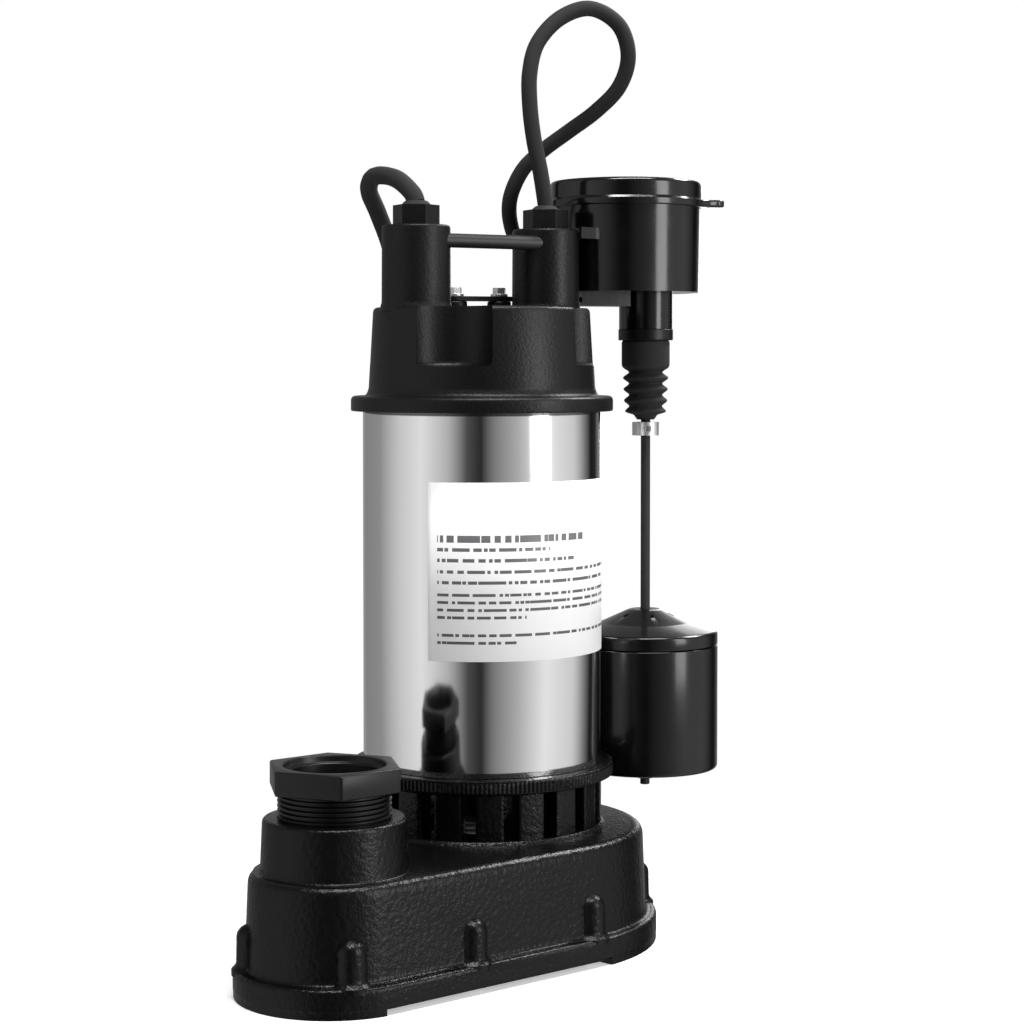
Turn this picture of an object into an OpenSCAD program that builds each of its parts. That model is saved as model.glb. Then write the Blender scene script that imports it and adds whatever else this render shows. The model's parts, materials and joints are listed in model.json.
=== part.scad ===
// Submersible sump pump with a vertical float switch on its side.
// Top-suction pump: water enters between the fins, drops through the eye of the
// impeller and leaves through the upright outlet beside the motor.
// Millimetres. The origin is on the floor under the motor axis, +Z is up and the
// outlet is towards -Y.

/* [Casing] */
// Radius of the casing round the impeller
motor_end_r = 75; // [70:0.5:92]
// Radius of the casing round the outlet
outlet_end_r = 37; // [36:0.5:46]
// Distance from the motor axis to the outlet axis
outlet_offset = 118; // [112:1:145]
// Height of the cast feet
foot_h = 2.5; // [2:0.5:6]
// Height of the casing's flange
flange_h = 10; // [9:0.5:16]
// How far the flange stands out from the casing's side
flange_margin = 6; // [5:0.5:8]
// Height of the casing above its flange
body_h = 40; // [38:1:48]
// Wall of the casing
casing_wall = 6.5; // [5:0.5:8]
// Radius of the outlet boss
outlet_boss_r = 31.5; // [30.5:0.5:35]
// Height of the outlet boss above the casing
outlet_boss_h = 22.5; // [18:0.5:28]
// Thickness of the base plate
plate_t = 5; // [3:0.5:6]
// Thickness of the base plate's gasket
gasket_t = 0.8; // [0.5:0.1:1.5]
// How far the base plate is inset from the flange's side
plate_inset = 3.2; // [2.5:0.1:4]
// Radius of the half-round screw bosses
boss_r = 6.75; // [6:0.25:7.5]
// Height of the screw bosses above the flange
boss_h = 19; // [14:0.5:26]
// Radius of the base screws' threads
base_screw_r = 2.5; // [2:0.25:3]
// Length of the base screws under the head
base_screw_l = 20; // [14:1:24]
// Radius of the base screws' heads
base_head_r = 4.2; // [3.5:0.1:4.5]

/* [Outlet adapter] */
// Radius of the outer thread, one and a half inch pipe
adapter_thread_r = 24.15; // [20:0.05:26]
// Radius of the inner thread, one and a quarter inch pipe
adapter_bore_r = 19.6; // [15:0.05:20.5]
// Length of the inner thread
adapter_bore_l = 24; // [15:1:26]
// Radius of the smooth mouth above the inner thread
adapter_mouth_r = 21.6; // [21:0.1:24]
// Depth of the smooth mouth
adapter_mouth_h = 3; // [1:0.5:5]
// Height of the outer thread above the boss
adapter_gap = 11.5; // [6:0.5:16]
// Length of the outer thread inside the boss
adapter_grip = 15; // [12:1:18]
// Width of the hexagon across its flats
adapter_hex_w = 52.5; // [51:0.5:60]
// Height of the hexagon
adapter_hex_h = 10.5; // [8:0.5:14]
// Turn of the hexagon
adapter_turn = -49; // [-60:1:0]

/* [Intake] */
// Number of fins round the intake
fin_count = 18; // [12:1:20]
// Width of a fin in degrees
fin_angle = 13; // [9:0.5:14]
// Turn of the first fin
fin_phase = 5.3; // [0:0.1:20]
// Height of the fins
fin_h = 22.5; // [18:0.5:28]
// How far a fin reaches inwards
fin_depth = 10; // [8:0.5:12]
// Height of the collar above the fins
collar_h = 7; // [6:0.5:9]
// How far the collar stands out from the motor tube
collar_margin = 5.7; // [3:0.1:7]
// Radius of the screws that hold the intake to the casing
intake_screw_r = 2.5; // [2:0.25:3]
// Radius of those screws' heads
intake_head_r = 4.4; // [4:0.1:4.5]
// Height of those screws' heads
intake_head_h = 3.5; // [2:0.5:3.5]

/* [Motor] */
// Outer radius of the motor tube
tube_r = 55; // [50:0.5:66]
// Wall of the motor tube
tube_wall = 1.2; // [0.8:0.1:1.5]
// Visible height of the motor tube
tube_h = 161.5; // [134:0.5:195]
// Height of the spigots inside the tube's ends
spigot_h = 8; // [7:0.5:10]
// Wall of the spigots
spigot_wall = 11.6; // [11:0.1:13]
// Section of the tube's sealing rings
ring_section = 2.5; // [2:0.1:3]
// Length of the stator and rotor cores
core_l = 70; // [60:1:100]
// Outer radius of the rotor core
rotor_r = 29.5; // [26:0.5:31]
// Gap between the rotor and the stator
air_gap = 0.6; // [0.4:0.1:1]
// Number of slots in the stator
slot_count = 24; // [12:6:24]
// Width of a stator slot
slot_w = 4; // [3:0.1:4.5]
// Depth of a stator slot
slot_depth = 9; // [6:0.5:9]
// Height of the winding heads beyond the core
winding_h = 13; // [8:1:14]
// Height of the name label's foot above the tube's foot
label_lift = 52; // [20:1:54]
// Height of the name label
label_h = 79; // [50:1:80]
// Radius of the long bolts that hold the motor together
tie_bolt_r = 2.5; // [2:0.1:2.6]
// Radius of the long bolts' heads
tie_head_r = 4.25; // [4:0.05:4.3]
// Height of the long bolts' heads
tie_head_h = 5; // [4:0.5:6]

/* [Shaft and bearings] */
// Radius of the bearings' outer races
bearing_r = 17.5; // [16:0.5:18]
// Radius of the shaft in the bearings
shaft_r = 7.5; // [7:0.1:8]
// Width of the bearings
bearing_w = 11; // [9:1:12]
// Radius of the bearing balls
ball_r = 2.9; // [2.5:0.1:3]
// Number of balls in each bearing
ball_count = 8; // [6:1:8]
// Radius of the shaft through the rotor
rotor_shaft_r = 9.5; // [9:0.5:11]
// Radius of the shaft at the seal
seal_shaft_r = 7; // [6.5:0.1:7.2]
// Radius of the shaft at the impeller
impeller_shaft_r = 6; // [5:0.1:6]
// Radius of the thread for the impeller's nut
nut_thread_r = 4; // [3:0.5:4]

/* [Impeller and seal] */
// Radius of the impeller
impeller_r = 50; // [42:1:60]
// Radius of the impeller's eye
eye_r = 27; // [22:0.5:28]
// Wall of the ring round the eye
eye_wall = 2.5; // [2:0.5:3]
// Gap between the eye's ring and the casing
eye_gap = 0.4; // [0.2:0.1:0.8]
// Number of vanes
vane_count = 6; // [4:1:8]
// Thickness of a vane
vane_t = 2.6; // [2:0.1:4]
// Thickness of the impeller's two plates
shroud_t = 3.5; // [2.5:0.5:4]
// Radius of the impeller's hub
hub_r = 12; // [10:0.5:13]
// Space under the impeller's lower plate
impeller_floor_gap = 6.2; // [6:0.1:8]
// Height of the impeller between its plates
vane_h = 17.5; // [14:0.5:19]
// Radius of the seal's housing bore
seal_r = 14; // [13:0.5:14]
// Outer radius of the seal's faces
seal_face_r = 11.5; // [11:0.1:12]
// Height of the rotating seal head
seal_head_h = 6; // [5:0.5:6]
// Height of the fixed seal seat
seal_seat_h = 6.5; // [5:0.5:7]
// Wire of the seal's spring
spring_wire = 1.6; // [1.2:0.1:1.8]
// Turns of the seal's spring
spring_turns = 3; // [2:1:4]

/* [Top cap] */
// How far the cap's flange stands out from the motor tube
cap_margin = 5.5; // [4:0.5:7]
// Height of the cap's flange
cap_flange_h = 7; // [5:0.5:9]
// Height of the cap above its flange
cap_h = 40.5; // [38:0.5:48]
// How far the cap's side stands in from the motor tube at its foot
cap_step = 2.5; // [2:0.5:3]
// How far the cap's side leans in over its height
cap_draft = 2.3; // [1:0.1:3]
// Wall of the cap
cap_wall = 6; // [5:0.5:7]
// Radius of the scoops for the long bolts
scoop_r = 19.5; // [16:0.5:20]
// Height of the scoops' floor above the flange
scoop_floor = 13.5; // [12:0.5:18]
// Direction of the first scoop
scoop_turn = 17; // [10:1:25]
// Direction of the line through the two posts
post_turn = 62; // [55:1:70]
// Distance of each post from the motor axis
post_offset = 34.5; // [32:0.5:38]
// Radius of the posts
post_r = 15.75; // [15:0.25:17]
// Height of the posts
post_h = 37; // [30:1:44]
// Radius of the handle bar
bar_r = 3.25; // [3:0.25:3.5]
// Distance of the bar from the line through the posts
bar_shift = 9.3; // [9:0.1:10]
// Depth of the bar in each post
bar_grip = 8; // [5:1:9]
// Height of the bar under the posts' tops
bar_drop = 7; // [6:0.5:20]

/* [Cord outlets] */
// Width of the cord nuts across their flats
cord_nut_w = 18.5; // [17:0.5:22]
// Height of the cord nuts
cord_nut_h = 9; // [7:0.5:12]
// Turn of the cord nuts
cord_nut_turn = 27; // [0:1:60]
// Outer radius of the cord grommets in the nuts
grommet_r = 7; // [6.5:0.1:7.5]
// Length of the cord grommets
grommet_l = 27; // [22:1:30]
// Radius of the power cord
power_cord_r = 4.2; // [3.5:0.1:4.5]
// Radius of the switch cord
switch_cord_r = 3.7; // [3:0.1:4]

/* [Float switch] */
// Direction of the float from the motor axis
float_turn = 67.5; // [65:0.5:70]
// Radius of the switch cup
cup_r = 36; // [34:0.5:37]
// Height of the switch cup
cup_h = 43.5; // [40:0.5:55]
// Height of the switch cup's floor above the cap
cup_lift = 8.5; // [7.5:0.5:14]
// Wall of the switch cup
cup_wall = 3.5; // [3:0.1:4]
// Distance from the rod to the cup's axis
cup_offset = 11.3; // [10:0.1:12]
// Direction from the rod to the cup's axis
cup_turn = 237; // [234:1:240]
// Height of the lid above the cup
lid_h = 10; // [8:0.5:14]
// Thickness of the lid's top
lid_t = 3; // [2:0.5:4]
// Overlap of the lid on the cup
lid_skirt = 3; // [2:0.5:5]
// Length of the lid's thumb tab
tab_l = 11; // [6:0.5:14]
// Width of the lid's thumb tab
tab_w = 13; // [10:0.5:16]
// Radius of the neck under the cup
neck_r = 13; // [12.5:0.1:14]
// Length of the neck
neck_l = 17.5; // [15:0.5:20]
// Height of the band round the boot
band_h = 5.5; // [4:0.5:7]
// Radius of the rod
rod_r = 2.3; // [2:0.1:2.5]
// Gap between the rod and what guides it
rod_gap = 0.08; // [0.05:0.01:0.1]
// How far the rod lifts
rod_travel = 8; // [7:0.5:8]
// Length of the plain top of the boot below the band
boot_cuff_l = 12.5; // [10:0.5:16]
// Number of folds in the boot
boot_folds = 4; // [3:1:5]
// Height of a fold of the boot
fold_h = 5.5; // [5:0.1:6]
// Outer radius of the boot
boot_r = 11.7; // [11:0.1:12]
// Radius of the boot between its folds
boot_valley_r = 7.7; // [7:0.1:9]
// Wall of the boot
boot_wall = 1.2; // [1:0.1:1.5]

/* [Float] */
// Radius of the float
float_r = 35.3; // [29:0.1:43]
// Height of the float's straight side
float_side_h = 66.7; // [55:0.1:80]
// Height of the float's cone
float_cone_h = 10.6; // [8:0.1:14]
// Height of the float's cap above the seam
float_cap_h = 6.5; // [4:0.5:10]
// Wall of the float
float_wall = 2; // [1.5:0.1:3]
// Gap between the float and the collar of the intake
float_gap = 2.2; // [1.5:0.1:5]
// Gap between the float's tube and the rod
float_rod_gap = 0.6; // [0.4:0.1:1]
// Height of the float above the floor
float_z = 68.3; // [62:0.1:90]
// Height of the stop under the float
stop_h = 5; // [3:0.5:6]
// Radius of the stop under the float
stop_r = 5.5; // [5:0.5:8]
// How far the rod reaches below the float
rod_tip = 8.8; // [7:0.1:12]
// Height of the clamp collar on the rod
rod_collar_h = 6.5; // [5:0.5:8]
// Radius of the clamp collar on the rod
rod_collar_r = 6.5; // [6:0.1:7]

/* [Snap switch] */
// Length of the snap switch's body
snap_l = 27.8; // [25:0.1:28]
// Width of the snap switch's body
snap_w = 10; // [8:0.1:10.5]
// Height of the snap switch's body
snap_h = 16; // [14:0.5:18]
// Distance from the rod to the lever's pin
lever_arm = 24; // [23:0.5:25]
// Thickness of the lever
lever_t = 3; // [2.5:0.1:3.5]
// Width of the lever
lever_w = 4.8; // [4:0.1:6]
// Radius of the lever's pin
lever_pin_r = 1; // [0.8:0.1:1]
// Gap between the lever and its pin
lever_pin_gap = 0.05; // [0.03:0.01:0.08]
// Radius of the switch's button
button_r = 1.2; // [1:0.1:1.4]
// How far the button travels
button_travel = 2; // [1.5:0.1:2]

/* [Plug] */
// Length of the plug's body
plug_l = 34; // [30:1:38]
// Width of the plug's body
plug_w = 28; // [26:1:32]
// Thickness of the plug's body
plug_t = 26; // [24:1:30]
// Length of the plug's strain relief
plug_relief_l = 30; // [24:1:34]
// Length of the plug's flat blades
blade_l = 16; // [14:1:18]

/* [Hidden] */
$fn = 96;
eps = 0.01;

// Levels, from the floor up
flange_z = foot_h + flange_h;
deck_z = flange_z + body_h;
outlet_top_z = deck_z + outlet_boss_h;
adapter_hex_z = outlet_top_z + adapter_gap;
adapter_top_z = adapter_hex_z + adapter_hex_h;
collar_z = deck_z + fin_h;
tube_z = collar_z + collar_h;
cap_z = tube_z + tube_h;
cap_side_z = cap_z + cap_flange_h;
cap_top_z = cap_side_z + cap_h;
post_top_z = cap_top_z + post_h;
nut_top_z = post_top_z + cord_nut_h;
cup_z = cap_top_z + cup_lift;
cup_top_z = cup_z + cup_h;
neck_z = cup_z - neck_l;
band_z = neck_z - band_h;
cuff_z = band_z - boot_cuff_l - 0.5;
boot_tail_z = cuff_z - boot_folds * fold_h - 3.5;
rod_collar_z = boot_tail_z - 1.2 - rod_collar_h;
seam_z = float_z + float_side_h - float_cap_h;
shoulder_z = float_z + float_side_h;
float_top_z = shoulder_z + float_cone_h;
rod_z = float_z - rod_tip;
scoop_z = cap_side_z + scoop_floor;

// Casing
plate_seat_h = plate_t + gasket_t + 0.5;
plate_z = foot_h + 0.5;
gasket_z = plate_z + plate_t;
cavity_z = gasket_z + gasket_t;
ceiling_z = deck_z - casing_wall;
side_angle = asin((motor_end_r - outlet_end_r) / outlet_offset);
screw_inset = 2;
plate_sink = 3.2;
base_head_h = 2.9;
screw_hole_gap = 0.2;
head_gap = 0.3;
motor_screw_angles = [-17.5, 42, 138, 197.5];
outlet_screw_angles = [-44, -136];
side_screw_run = 0.59 * outlet_offset * cos(side_angle);
side_normal = [cos(side_angle), -sin(side_angle)];
side_along = [-sin(side_angle), -cos(side_angle)];
side_screw = (motor_end_r - screw_inset) * side_normal + side_screw_run * side_along;
screw_points = concat(
    [for (a = motor_screw_angles) (motor_end_r - screw_inset) * [cos(a), sin(a)]],
    [for (a = outlet_screw_angles) [0, -outlet_offset] + (outlet_end_r - screw_inset) * [cos(a), sin(a)]],
    [side_screw, [-side_screw.x, side_screw.y]]
);
eye_neck_r = eye_r + eye_wall;

// Impeller and shaft
impeller_z = cavity_z + impeller_floor_gap;
vane_z = impeller_z + shroud_t;
front_shroud_z = vane_z + vane_h;
hub_top_z = deck_z - 6.5;
nut_h = 5;
thread_z = impeller_z - nut_h + 0.5;
seal_seat_z = deck_z + 8;
seal_gap = 0.05;
seal_head_z = seal_seat_z - seal_gap - seal_head_h;
seal_cup_h = seal_seat_h + 1.5;
lower_bearing_z = tube_z + 2;
upper_bearing_z = cap_z - 36.5;
shaft_top_z = upper_bearing_z + bearing_w + 0.5;
core_z = (lower_bearing_z + bearing_w + upper_bearing_z - core_l) / 2 - 1;
race_wall = 3.2;
ball_circle_r = (bearing_r + shaft_r) / 2;
ball_gap = 0.05;
cage_wall = 2.4;
cage_h = 0.8;
cage_gap = 0.05;
end_ring_h = 8;
stator_bore_r = rotor_r + air_gap;
label_t = 0.2;
label_from = -84;
label_to = 50;
tube_inner_r = tube_r - tube_wall;
tube_fit = 0.2;
inner_fit_r = tube_inner_r - tube_fit;
spigot_bore_r = inner_fit_r - spigot_wall;
tie_r = tube_r - 9;
tie_head_z = scoop_z - tie_head_h - 1;
tie_foot_z = tube_z - 5;
winding_gap = 0.4;
winding_in_r = stator_bore_r + 1.6;
winding_out_r = stator_bore_r + slot_depth + 0.5;
intake_boss_r = bearing_r + 8;
seal_boss_r = seal_r + 5;
intake_screw_fins = [0, 5, 9, 14];
fin_pitch = 360 / fin_count;
fin_mid_r = tube_r - fin_depth / 2;

// Cap and posts
collar_r = tube_r + collar_margin;
cap_r = tube_r + cap_margin;
cap_foot_r = tube_r - cap_step;
cap_top_r = cap_foot_r - cap_draft;
post_line = [cos(post_turn), sin(post_turn)];
switch_post = post_offset * post_line;
power_post = -post_offset * post_line;
scoop_offset = cap_foot_r + 4.5;
cap_cavity_r = tie_r - tie_head_r - 1.6;
cap_core_r = scoop_offset - scoop_r - 4.5;
bar_z = post_top_z - bar_drop;
bar_half = post_offset - sqrt(post_r * post_r - bar_shift * bar_shift) + bar_grip;
bar_gap = 0.05;
cord_hole_gap = 0.3;
cord_nut_r = cord_nut_w / 2 / cos(30);
cord_nut_grip = 3;
cord_nut_stem_r = 9;
grommet_proud = 2;

// Float switch
float_distance = collar_r + float_gap + float_r;
rod_x = float_distance * cos(float_turn);
rod_y = float_distance * sin(float_turn);
cup_x = rod_x + cup_offset * cos(cup_turn);
cup_y = rod_y + cup_offset * sin(cup_turn);
cup_floor = 3.5;
lid_gap = 0.1;
lid_lip = 1.5;
tab_turn = 31;
rod_top_z = cup_z + cup_floor + 3.5;
lever_gap = 0.6;
lever_z = rod_top_z + lever_gap;
lever_pin_z = lever_z + lever_t / 2;
snap_z = lever_z + rod_travel;
snap_start = lever_arm - 13.4;
button_at = lever_arm - 4.5;
button_z = lever_z + lever_t + 0.2;
button_gap = 0.05;
button_l = 8.2;
button_room = 3.6;
lug_t = 2.2;
lug_gap = 0.2;
snap_wall_t = 3;
snap_pin_r = 1.4;
saddle_w = 18;
saddle_t = 5.3;
saddle_drop = 19.3;
inlet_turn = 166;
inlet_z = cup_z + 17.5;
inlet_r = 7;
inlet_l = 6;
collar_screw_r = 2;
collar_screw_turn = -54;
float_tube_wall = 1.6;

// Bracket
bracket_start = [-24, 14.8];
bracket_t = 2.2;
bracket_w = 9.5;
bracket_z = cap_top_z + 3.8;
bracket_run = [rod_x, rod_y] - bracket_start;
bracket_len = norm(bracket_run) - neck_r - 0.3;
bracket_turn = atan2(bracket_run.y, bracket_run.x);
bracket_second = 22;
bracket_boss_r = 5.5;
bracket_screw_r = 1.75;
bracket_head_r = 3.3;
arm_l = 26;
arm_w = 14;

// Cords. The routes are lists of points chosen by hand.
power_route = [
    [-16, -30, 338], [-19, -30, 343], [-30, -27, 350], [-46, -20, 352], [-59, -6, 347], [-64, 9, 337],
    [-65, 21, 321], [-66, 27, 303], [-67, 28, 284], [-67, 28, 265], [-67, 28, 246],
    [-68, 29, 227], [-69, 30, 208], [-70, 31, 189], [-73, 33, 170], [-75, 35, 151],
    [-77, 37, 132], [-80, 40, 113], [-83, 43, 94], [-86, 46, 75], [-90, 49, 57],
    [-97, 56, 40], [-105, 65, 25], [-114, 77, 12], [-125, 91, 6], [-136, 106, 4.5]
];
tail_route = [
    [-120, 167, 16], [-106, 178, 20], [-87, 183, 25], [-69, 182, 30], [-55, 172, 34],
    [-49, 155, 37], [-52, 138, 39], [-65, 123, 39]
];
switch_route = [
    [16, 31, 339], [15, 28, 354], [13, 25, 370], [12, 23, 386], [12, 23, 401], [14, 27, 415],
    [21, 36, 427], [31, 47, 432], [40, 58, 425], [42, 64, 411], [36, 66, 397], [24, 65, 386],
    [11, 62, 377], [-2, 59, 368], [-12, 57, 359], [-19, 57, 346], [-22, 62, 334],
    [-24, 74, 324], [-20, 86, 318], [-9, 92, 317]
];
cord_sides = 10;
coil_x = -87;
coil_y = 140;
turn_r = 50.5;
turn_pitch = 8.5;
coil_rows = 3;
coil_in_r = turn_r - 1.5 * turn_pitch;
coil_out_r = turn_r + 1.5 * turn_pitch;
coil_h = coil_rows * turn_pitch;
tie_turn = -29;
tie_w = 12;
tie_t = 1.2;
tie_gap = 0.8;
plug_z = coil_h + plug_t / 2;
plug_turn = 211;
blade_w = 6.3;
blade_t = 1.5;
blade_gap = 12.7;
ground_r = 2.4;
ground_l = 20;

// A unit vector
function unit(v) = v / norm(v);
// The direction of a route at one of its points
function heading(p, i) = unit(p[min(i + 1, len(p) - 1)] - p[max(i - 1, 0)]);
// A vector turned square to a direction
function squared(v, t) = unit(v - (v * t) * t);
// Side vectors that follow a route without twisting
function sides(p, i, last) =
    i == len(p) ? [] : let (m = squared(last, heading(p, i))) concat([m], sides(p, i + 1, m));

// A closed tube along a route
module tube_along(p, r, count) {
    side = sides(p, 0, [0.3, 0.9, 0.1]);
    points = [
        for (i = [0:len(p) - 1])
            let (t = heading(p, i), n = side[i], b = cross(t, n))
                for (k = [0:count - 1]) p[i] + r * (cos(360 * k / count) * n + sin(360 * k / count) * b)
    ];
    walls = [
        for (i = [0:len(p) - 2], k = [0:count - 1])
            let (a = i * count + k, c = i * count + (k + 1) % count) [a, a + count, c + count, c]
    ];
    foot = [for (k = [0:count - 1]) k];
    head = [for (k = [count - 1:-1:0]) (len(p) - 1) * count + k];
    polyhedron(points, concat([foot], walls, [head]));
}

// The egg-shaped outline of the casing, grown or shrunk by a margin
module outline(margin) {
    hull() {
        circle(motor_end_r + margin);
        translate([0, -outlet_offset]) circle(outlet_end_r + margin);
    }
}

// A ring with a round bore
module ring(outer, inner, h) {
    difference() {
        cylinder(h = h, r = outer);
        translate([0, 0, -1]) cylinder(h = h + 2, r = inner);
    }
}

// A flat wedge from the axis, used to cut sectors
module wedge(from, to, r) {
    polygon([[0, 0], r * [cos(from), sin(from)], r * [cos((from + to) / 2), sin((from + to) / 2)],
             r * [cos(to), sin(to)]]);
}

// A sector of a ring
module sector(from, to, outer, inner) {
    intersection() {
        difference() {
            circle(outer);
            circle(inner);
        }
        wedge(from, to, 2 * outer);
    }
}

module at_rod() translate([rod_x, rod_y, 0]) children();
module at_cup() translate([cup_x, cup_y, 0]) children();
// Axes of the snap switch: +X runs from the rod towards the cup's axis
module at_lever() translate([rod_x, rod_y, 0]) rotate(cup_turn) children();
// Axes of the bracket: +X runs from its end screw towards the rod
module at_bracket()
    translate([bracket_start.x, bracket_start.y, bracket_z]) rotate(bracket_turn) children();

module casing_feet() {
    linear_extrude(foot_h + eps) {
        intersection() {
            difference() {
                outline(flange_margin);
                outline(flange_margin - 9);
            }
            union() {
                wedge(-13, 90, 2 * motor_end_r);
                wedge(90, 193, 2 * motor_end_r);
                translate([0, -outlet_offset]) wedge(205, 335, 2 * motor_end_r);
            }
        }
    }
}

module volute() {
    cavity_r = motor_end_r - casing_wall - 4.5;
    channel_r = outlet_end_r - casing_wall - 3.5;
    circle(cavity_r);
    hull() {
        translate([cavity_r - channel_r, 0]) circle(channel_r);
        translate([0, -outlet_offset]) circle(channel_r);
    }
}

module pump_casing() {
    color("#17181a") difference() {
        union() {
            casing_feet();
            translate([0, 0, foot_h]) linear_extrude(flange_h) outline(flange_margin);
            translate([0, 0, flange_z - eps]) linear_extrude(body_h + eps) outline(0);
            translate([0, -outlet_offset, deck_z - eps])
                cylinder(h = outlet_boss_h + eps, r1 = outlet_boss_r, r2 = outlet_boss_r - 1);
            for (p = screw_points)
                translate([p.x, p.y, flange_z - 1]) cylinder(h = boss_h + 1, r = boss_r);
        }
        translate([0, 0, foot_h - 1]) linear_extrude(plate_seat_h + 1) outline(flange_margin - plate_inset);
        translate([0, 0, cavity_z - 1]) linear_extrude(ceiling_z - cavity_z + 1) volute();
        translate([0, 0, ceiling_z - 1]) cylinder(h = casing_wall + 2, r = eye_neck_r + eye_gap);
        translate([0, -outlet_offset, ceiling_z - 1])
            cylinder(h = outlet_top_z - ceiling_z + 2, r = adapter_bore_r - 1);
        translate([0, -outlet_offset, outlet_top_z - adapter_grip])
            cylinder(h = adapter_grip + 1, r = adapter_thread_r);
        for (p = screw_points)
            translate([p.x, p.y, cavity_z - 1]) cylinder(h = base_screw_l - plate_t + 2, r = base_screw_r);
        for (k = intake_screw_fins) rotate(fin_phase + k * fin_pitch) translate([fin_mid_r, 0, 0]) {
            translate([0, 0, ceiling_z - 1]) cylinder(h = casing_wall + 2, r = intake_screw_r);
            translate([0, 0, ceiling_z - intake_head_h - 1])
                cylinder(h = intake_head_h + 1, r = intake_head_r + head_gap);
        }
    }
}

module base_plate() {
    color("#202124") translate([0, 0, plate_z]) difference() {
        linear_extrude(plate_t) outline(flange_margin - plate_inset - 0.3);
        for (p = screw_points)
            translate([p.x, p.y, -1]) cylinder(h = plate_t + 2, r = base_screw_r + screw_hole_gap);
        for (p = screw_points)
            translate([p.x, p.y, -1]) cylinder(h = plate_sink + 1, r = base_head_r + head_gap);
    }
}

module base_gasket() {
    color("#3a3a38") translate([0, 0, gasket_z]) difference() {
        linear_extrude(gasket_t) outline(flange_margin - plate_inset - 0.3);
        translate([0, 0, -1]) linear_extrude(gasket_t + 2) outline(-casing_wall - 1.5);
        for (p = screw_points)
            translate([p.x, p.y, -1]) cylinder(h = gasket_t + 2, r = base_screw_r + screw_hole_gap);
    }
}

// A hexagon-socket screw, head down, standing on the origin
module socket_screw(head_r, head_h, r, l, socket_w) {
    difference() {
        union() {
            cylinder(h = head_h, r = head_r);
            cylinder(h = head_h + l, r = r);
        }
        translate([0, 0, -1]) cylinder(h = head_h * 0.6 + 1, r = socket_w / 2 / cos(30), $fn = 6);
    }
}

module base_screws() {
    color("#b9bbbd") for (p = screw_points) translate([p.x, p.y, plate_z + plate_sink - base_head_h])
        socket_screw(base_head_r, base_head_h, base_screw_r, base_screw_l - plate_sink, 4);
}

module intake_housing() {
    bearing_top_z = lower_bearing_z + bearing_w;
    color("#191a1c") difference() {
        union() {
            translate([0, 0, deck_z]) ring(tube_r + 0.8, tube_r - fin_depth + 1, 1.6);
            for (k = [0:fin_count - 1])
                rotate(fin_phase + k * fin_pitch) translate([0, 0, deck_z]) linear_extrude(fin_h + 1)
                    sector(-fin_angle / 2, fin_angle / 2, tube_r, tube_r - fin_depth);
            translate([0, 0, collar_z]) cylinder(h = collar_h, r = collar_r);
            translate([0, 0, tube_z - 1]) ring(inner_fit_r, spigot_bore_r, spigot_h + 1);
            translate([0, 0, tube_z - 1]) cylinder(h = bearing_top_z - tube_z + 2, r = intake_boss_r);
            translate([0, 0, seal_seat_z - 2]) cylinder(h = collar_z - seal_seat_z + 3, r = seal_boss_r);
        }
        translate([0, 0, lower_bearing_z]) cylinder(h = bearing_w + 10, r = bearing_r);
        translate([0, 0, seal_seat_z - 3]) cylinder(h = seal_cup_h + 3, r = seal_r);
        translate([0, 0, seal_seat_z]) cylinder(h = tube_z - seal_seat_z + 5, r = rotor_shaft_r);
        translate([0, 0, tube_z + 3]) ring(tube_r + 2, inner_fit_r - ring_section, ring_section + 0.4);
        for (k = [0:3]) rotate(scoop_turn + 90 * k)
            translate([tie_r, 0, tie_foot_z]) cylinder(h = spigot_h + 10, r = tie_bolt_r);
        for (k = intake_screw_fins) rotate(fin_phase + k * fin_pitch)
            translate([fin_mid_r, 0, deck_z - 1]) cylinder(h = 16, r = intake_screw_r);
    }
}

module intake_screws() {
    color("#a5a7a9") for (k = intake_screw_fins) rotate(fin_phase + k * fin_pitch)
        translate([fin_mid_r, 0, ceiling_z - intake_head_h])
            socket_screw(intake_head_r, intake_head_h, intake_screw_r, casing_wall + 14, 4);
}

module discharge_adapter() {
    color("#1b1c1e") translate([0, -outlet_offset, 0]) difference() {
        union() {
            translate([0, 0, outlet_top_z - adapter_grip])
                cylinder(h = adapter_grip + adapter_gap + 1, r = adapter_thread_r);
            translate([0, 0, adapter_hex_z]) rotate(adapter_turn)
                cylinder(h = adapter_hex_h, r = adapter_hex_w / 2 / cos(30), $fn = 6);
        }
        translate([0, 0, outlet_top_z - adapter_grip - 1])
            cylinder(h = adapter_top_z, r = adapter_bore_r - 1);
        translate([0, 0, adapter_top_z - adapter_mouth_h - adapter_bore_l])
            cylinder(h = adapter_bore_l + 1, r = adapter_bore_r);
        translate([0, 0, adapter_top_z - adapter_mouth_h])
            cylinder(h = adapter_mouth_h + 1, r = adapter_mouth_r);
    }
}

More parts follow.
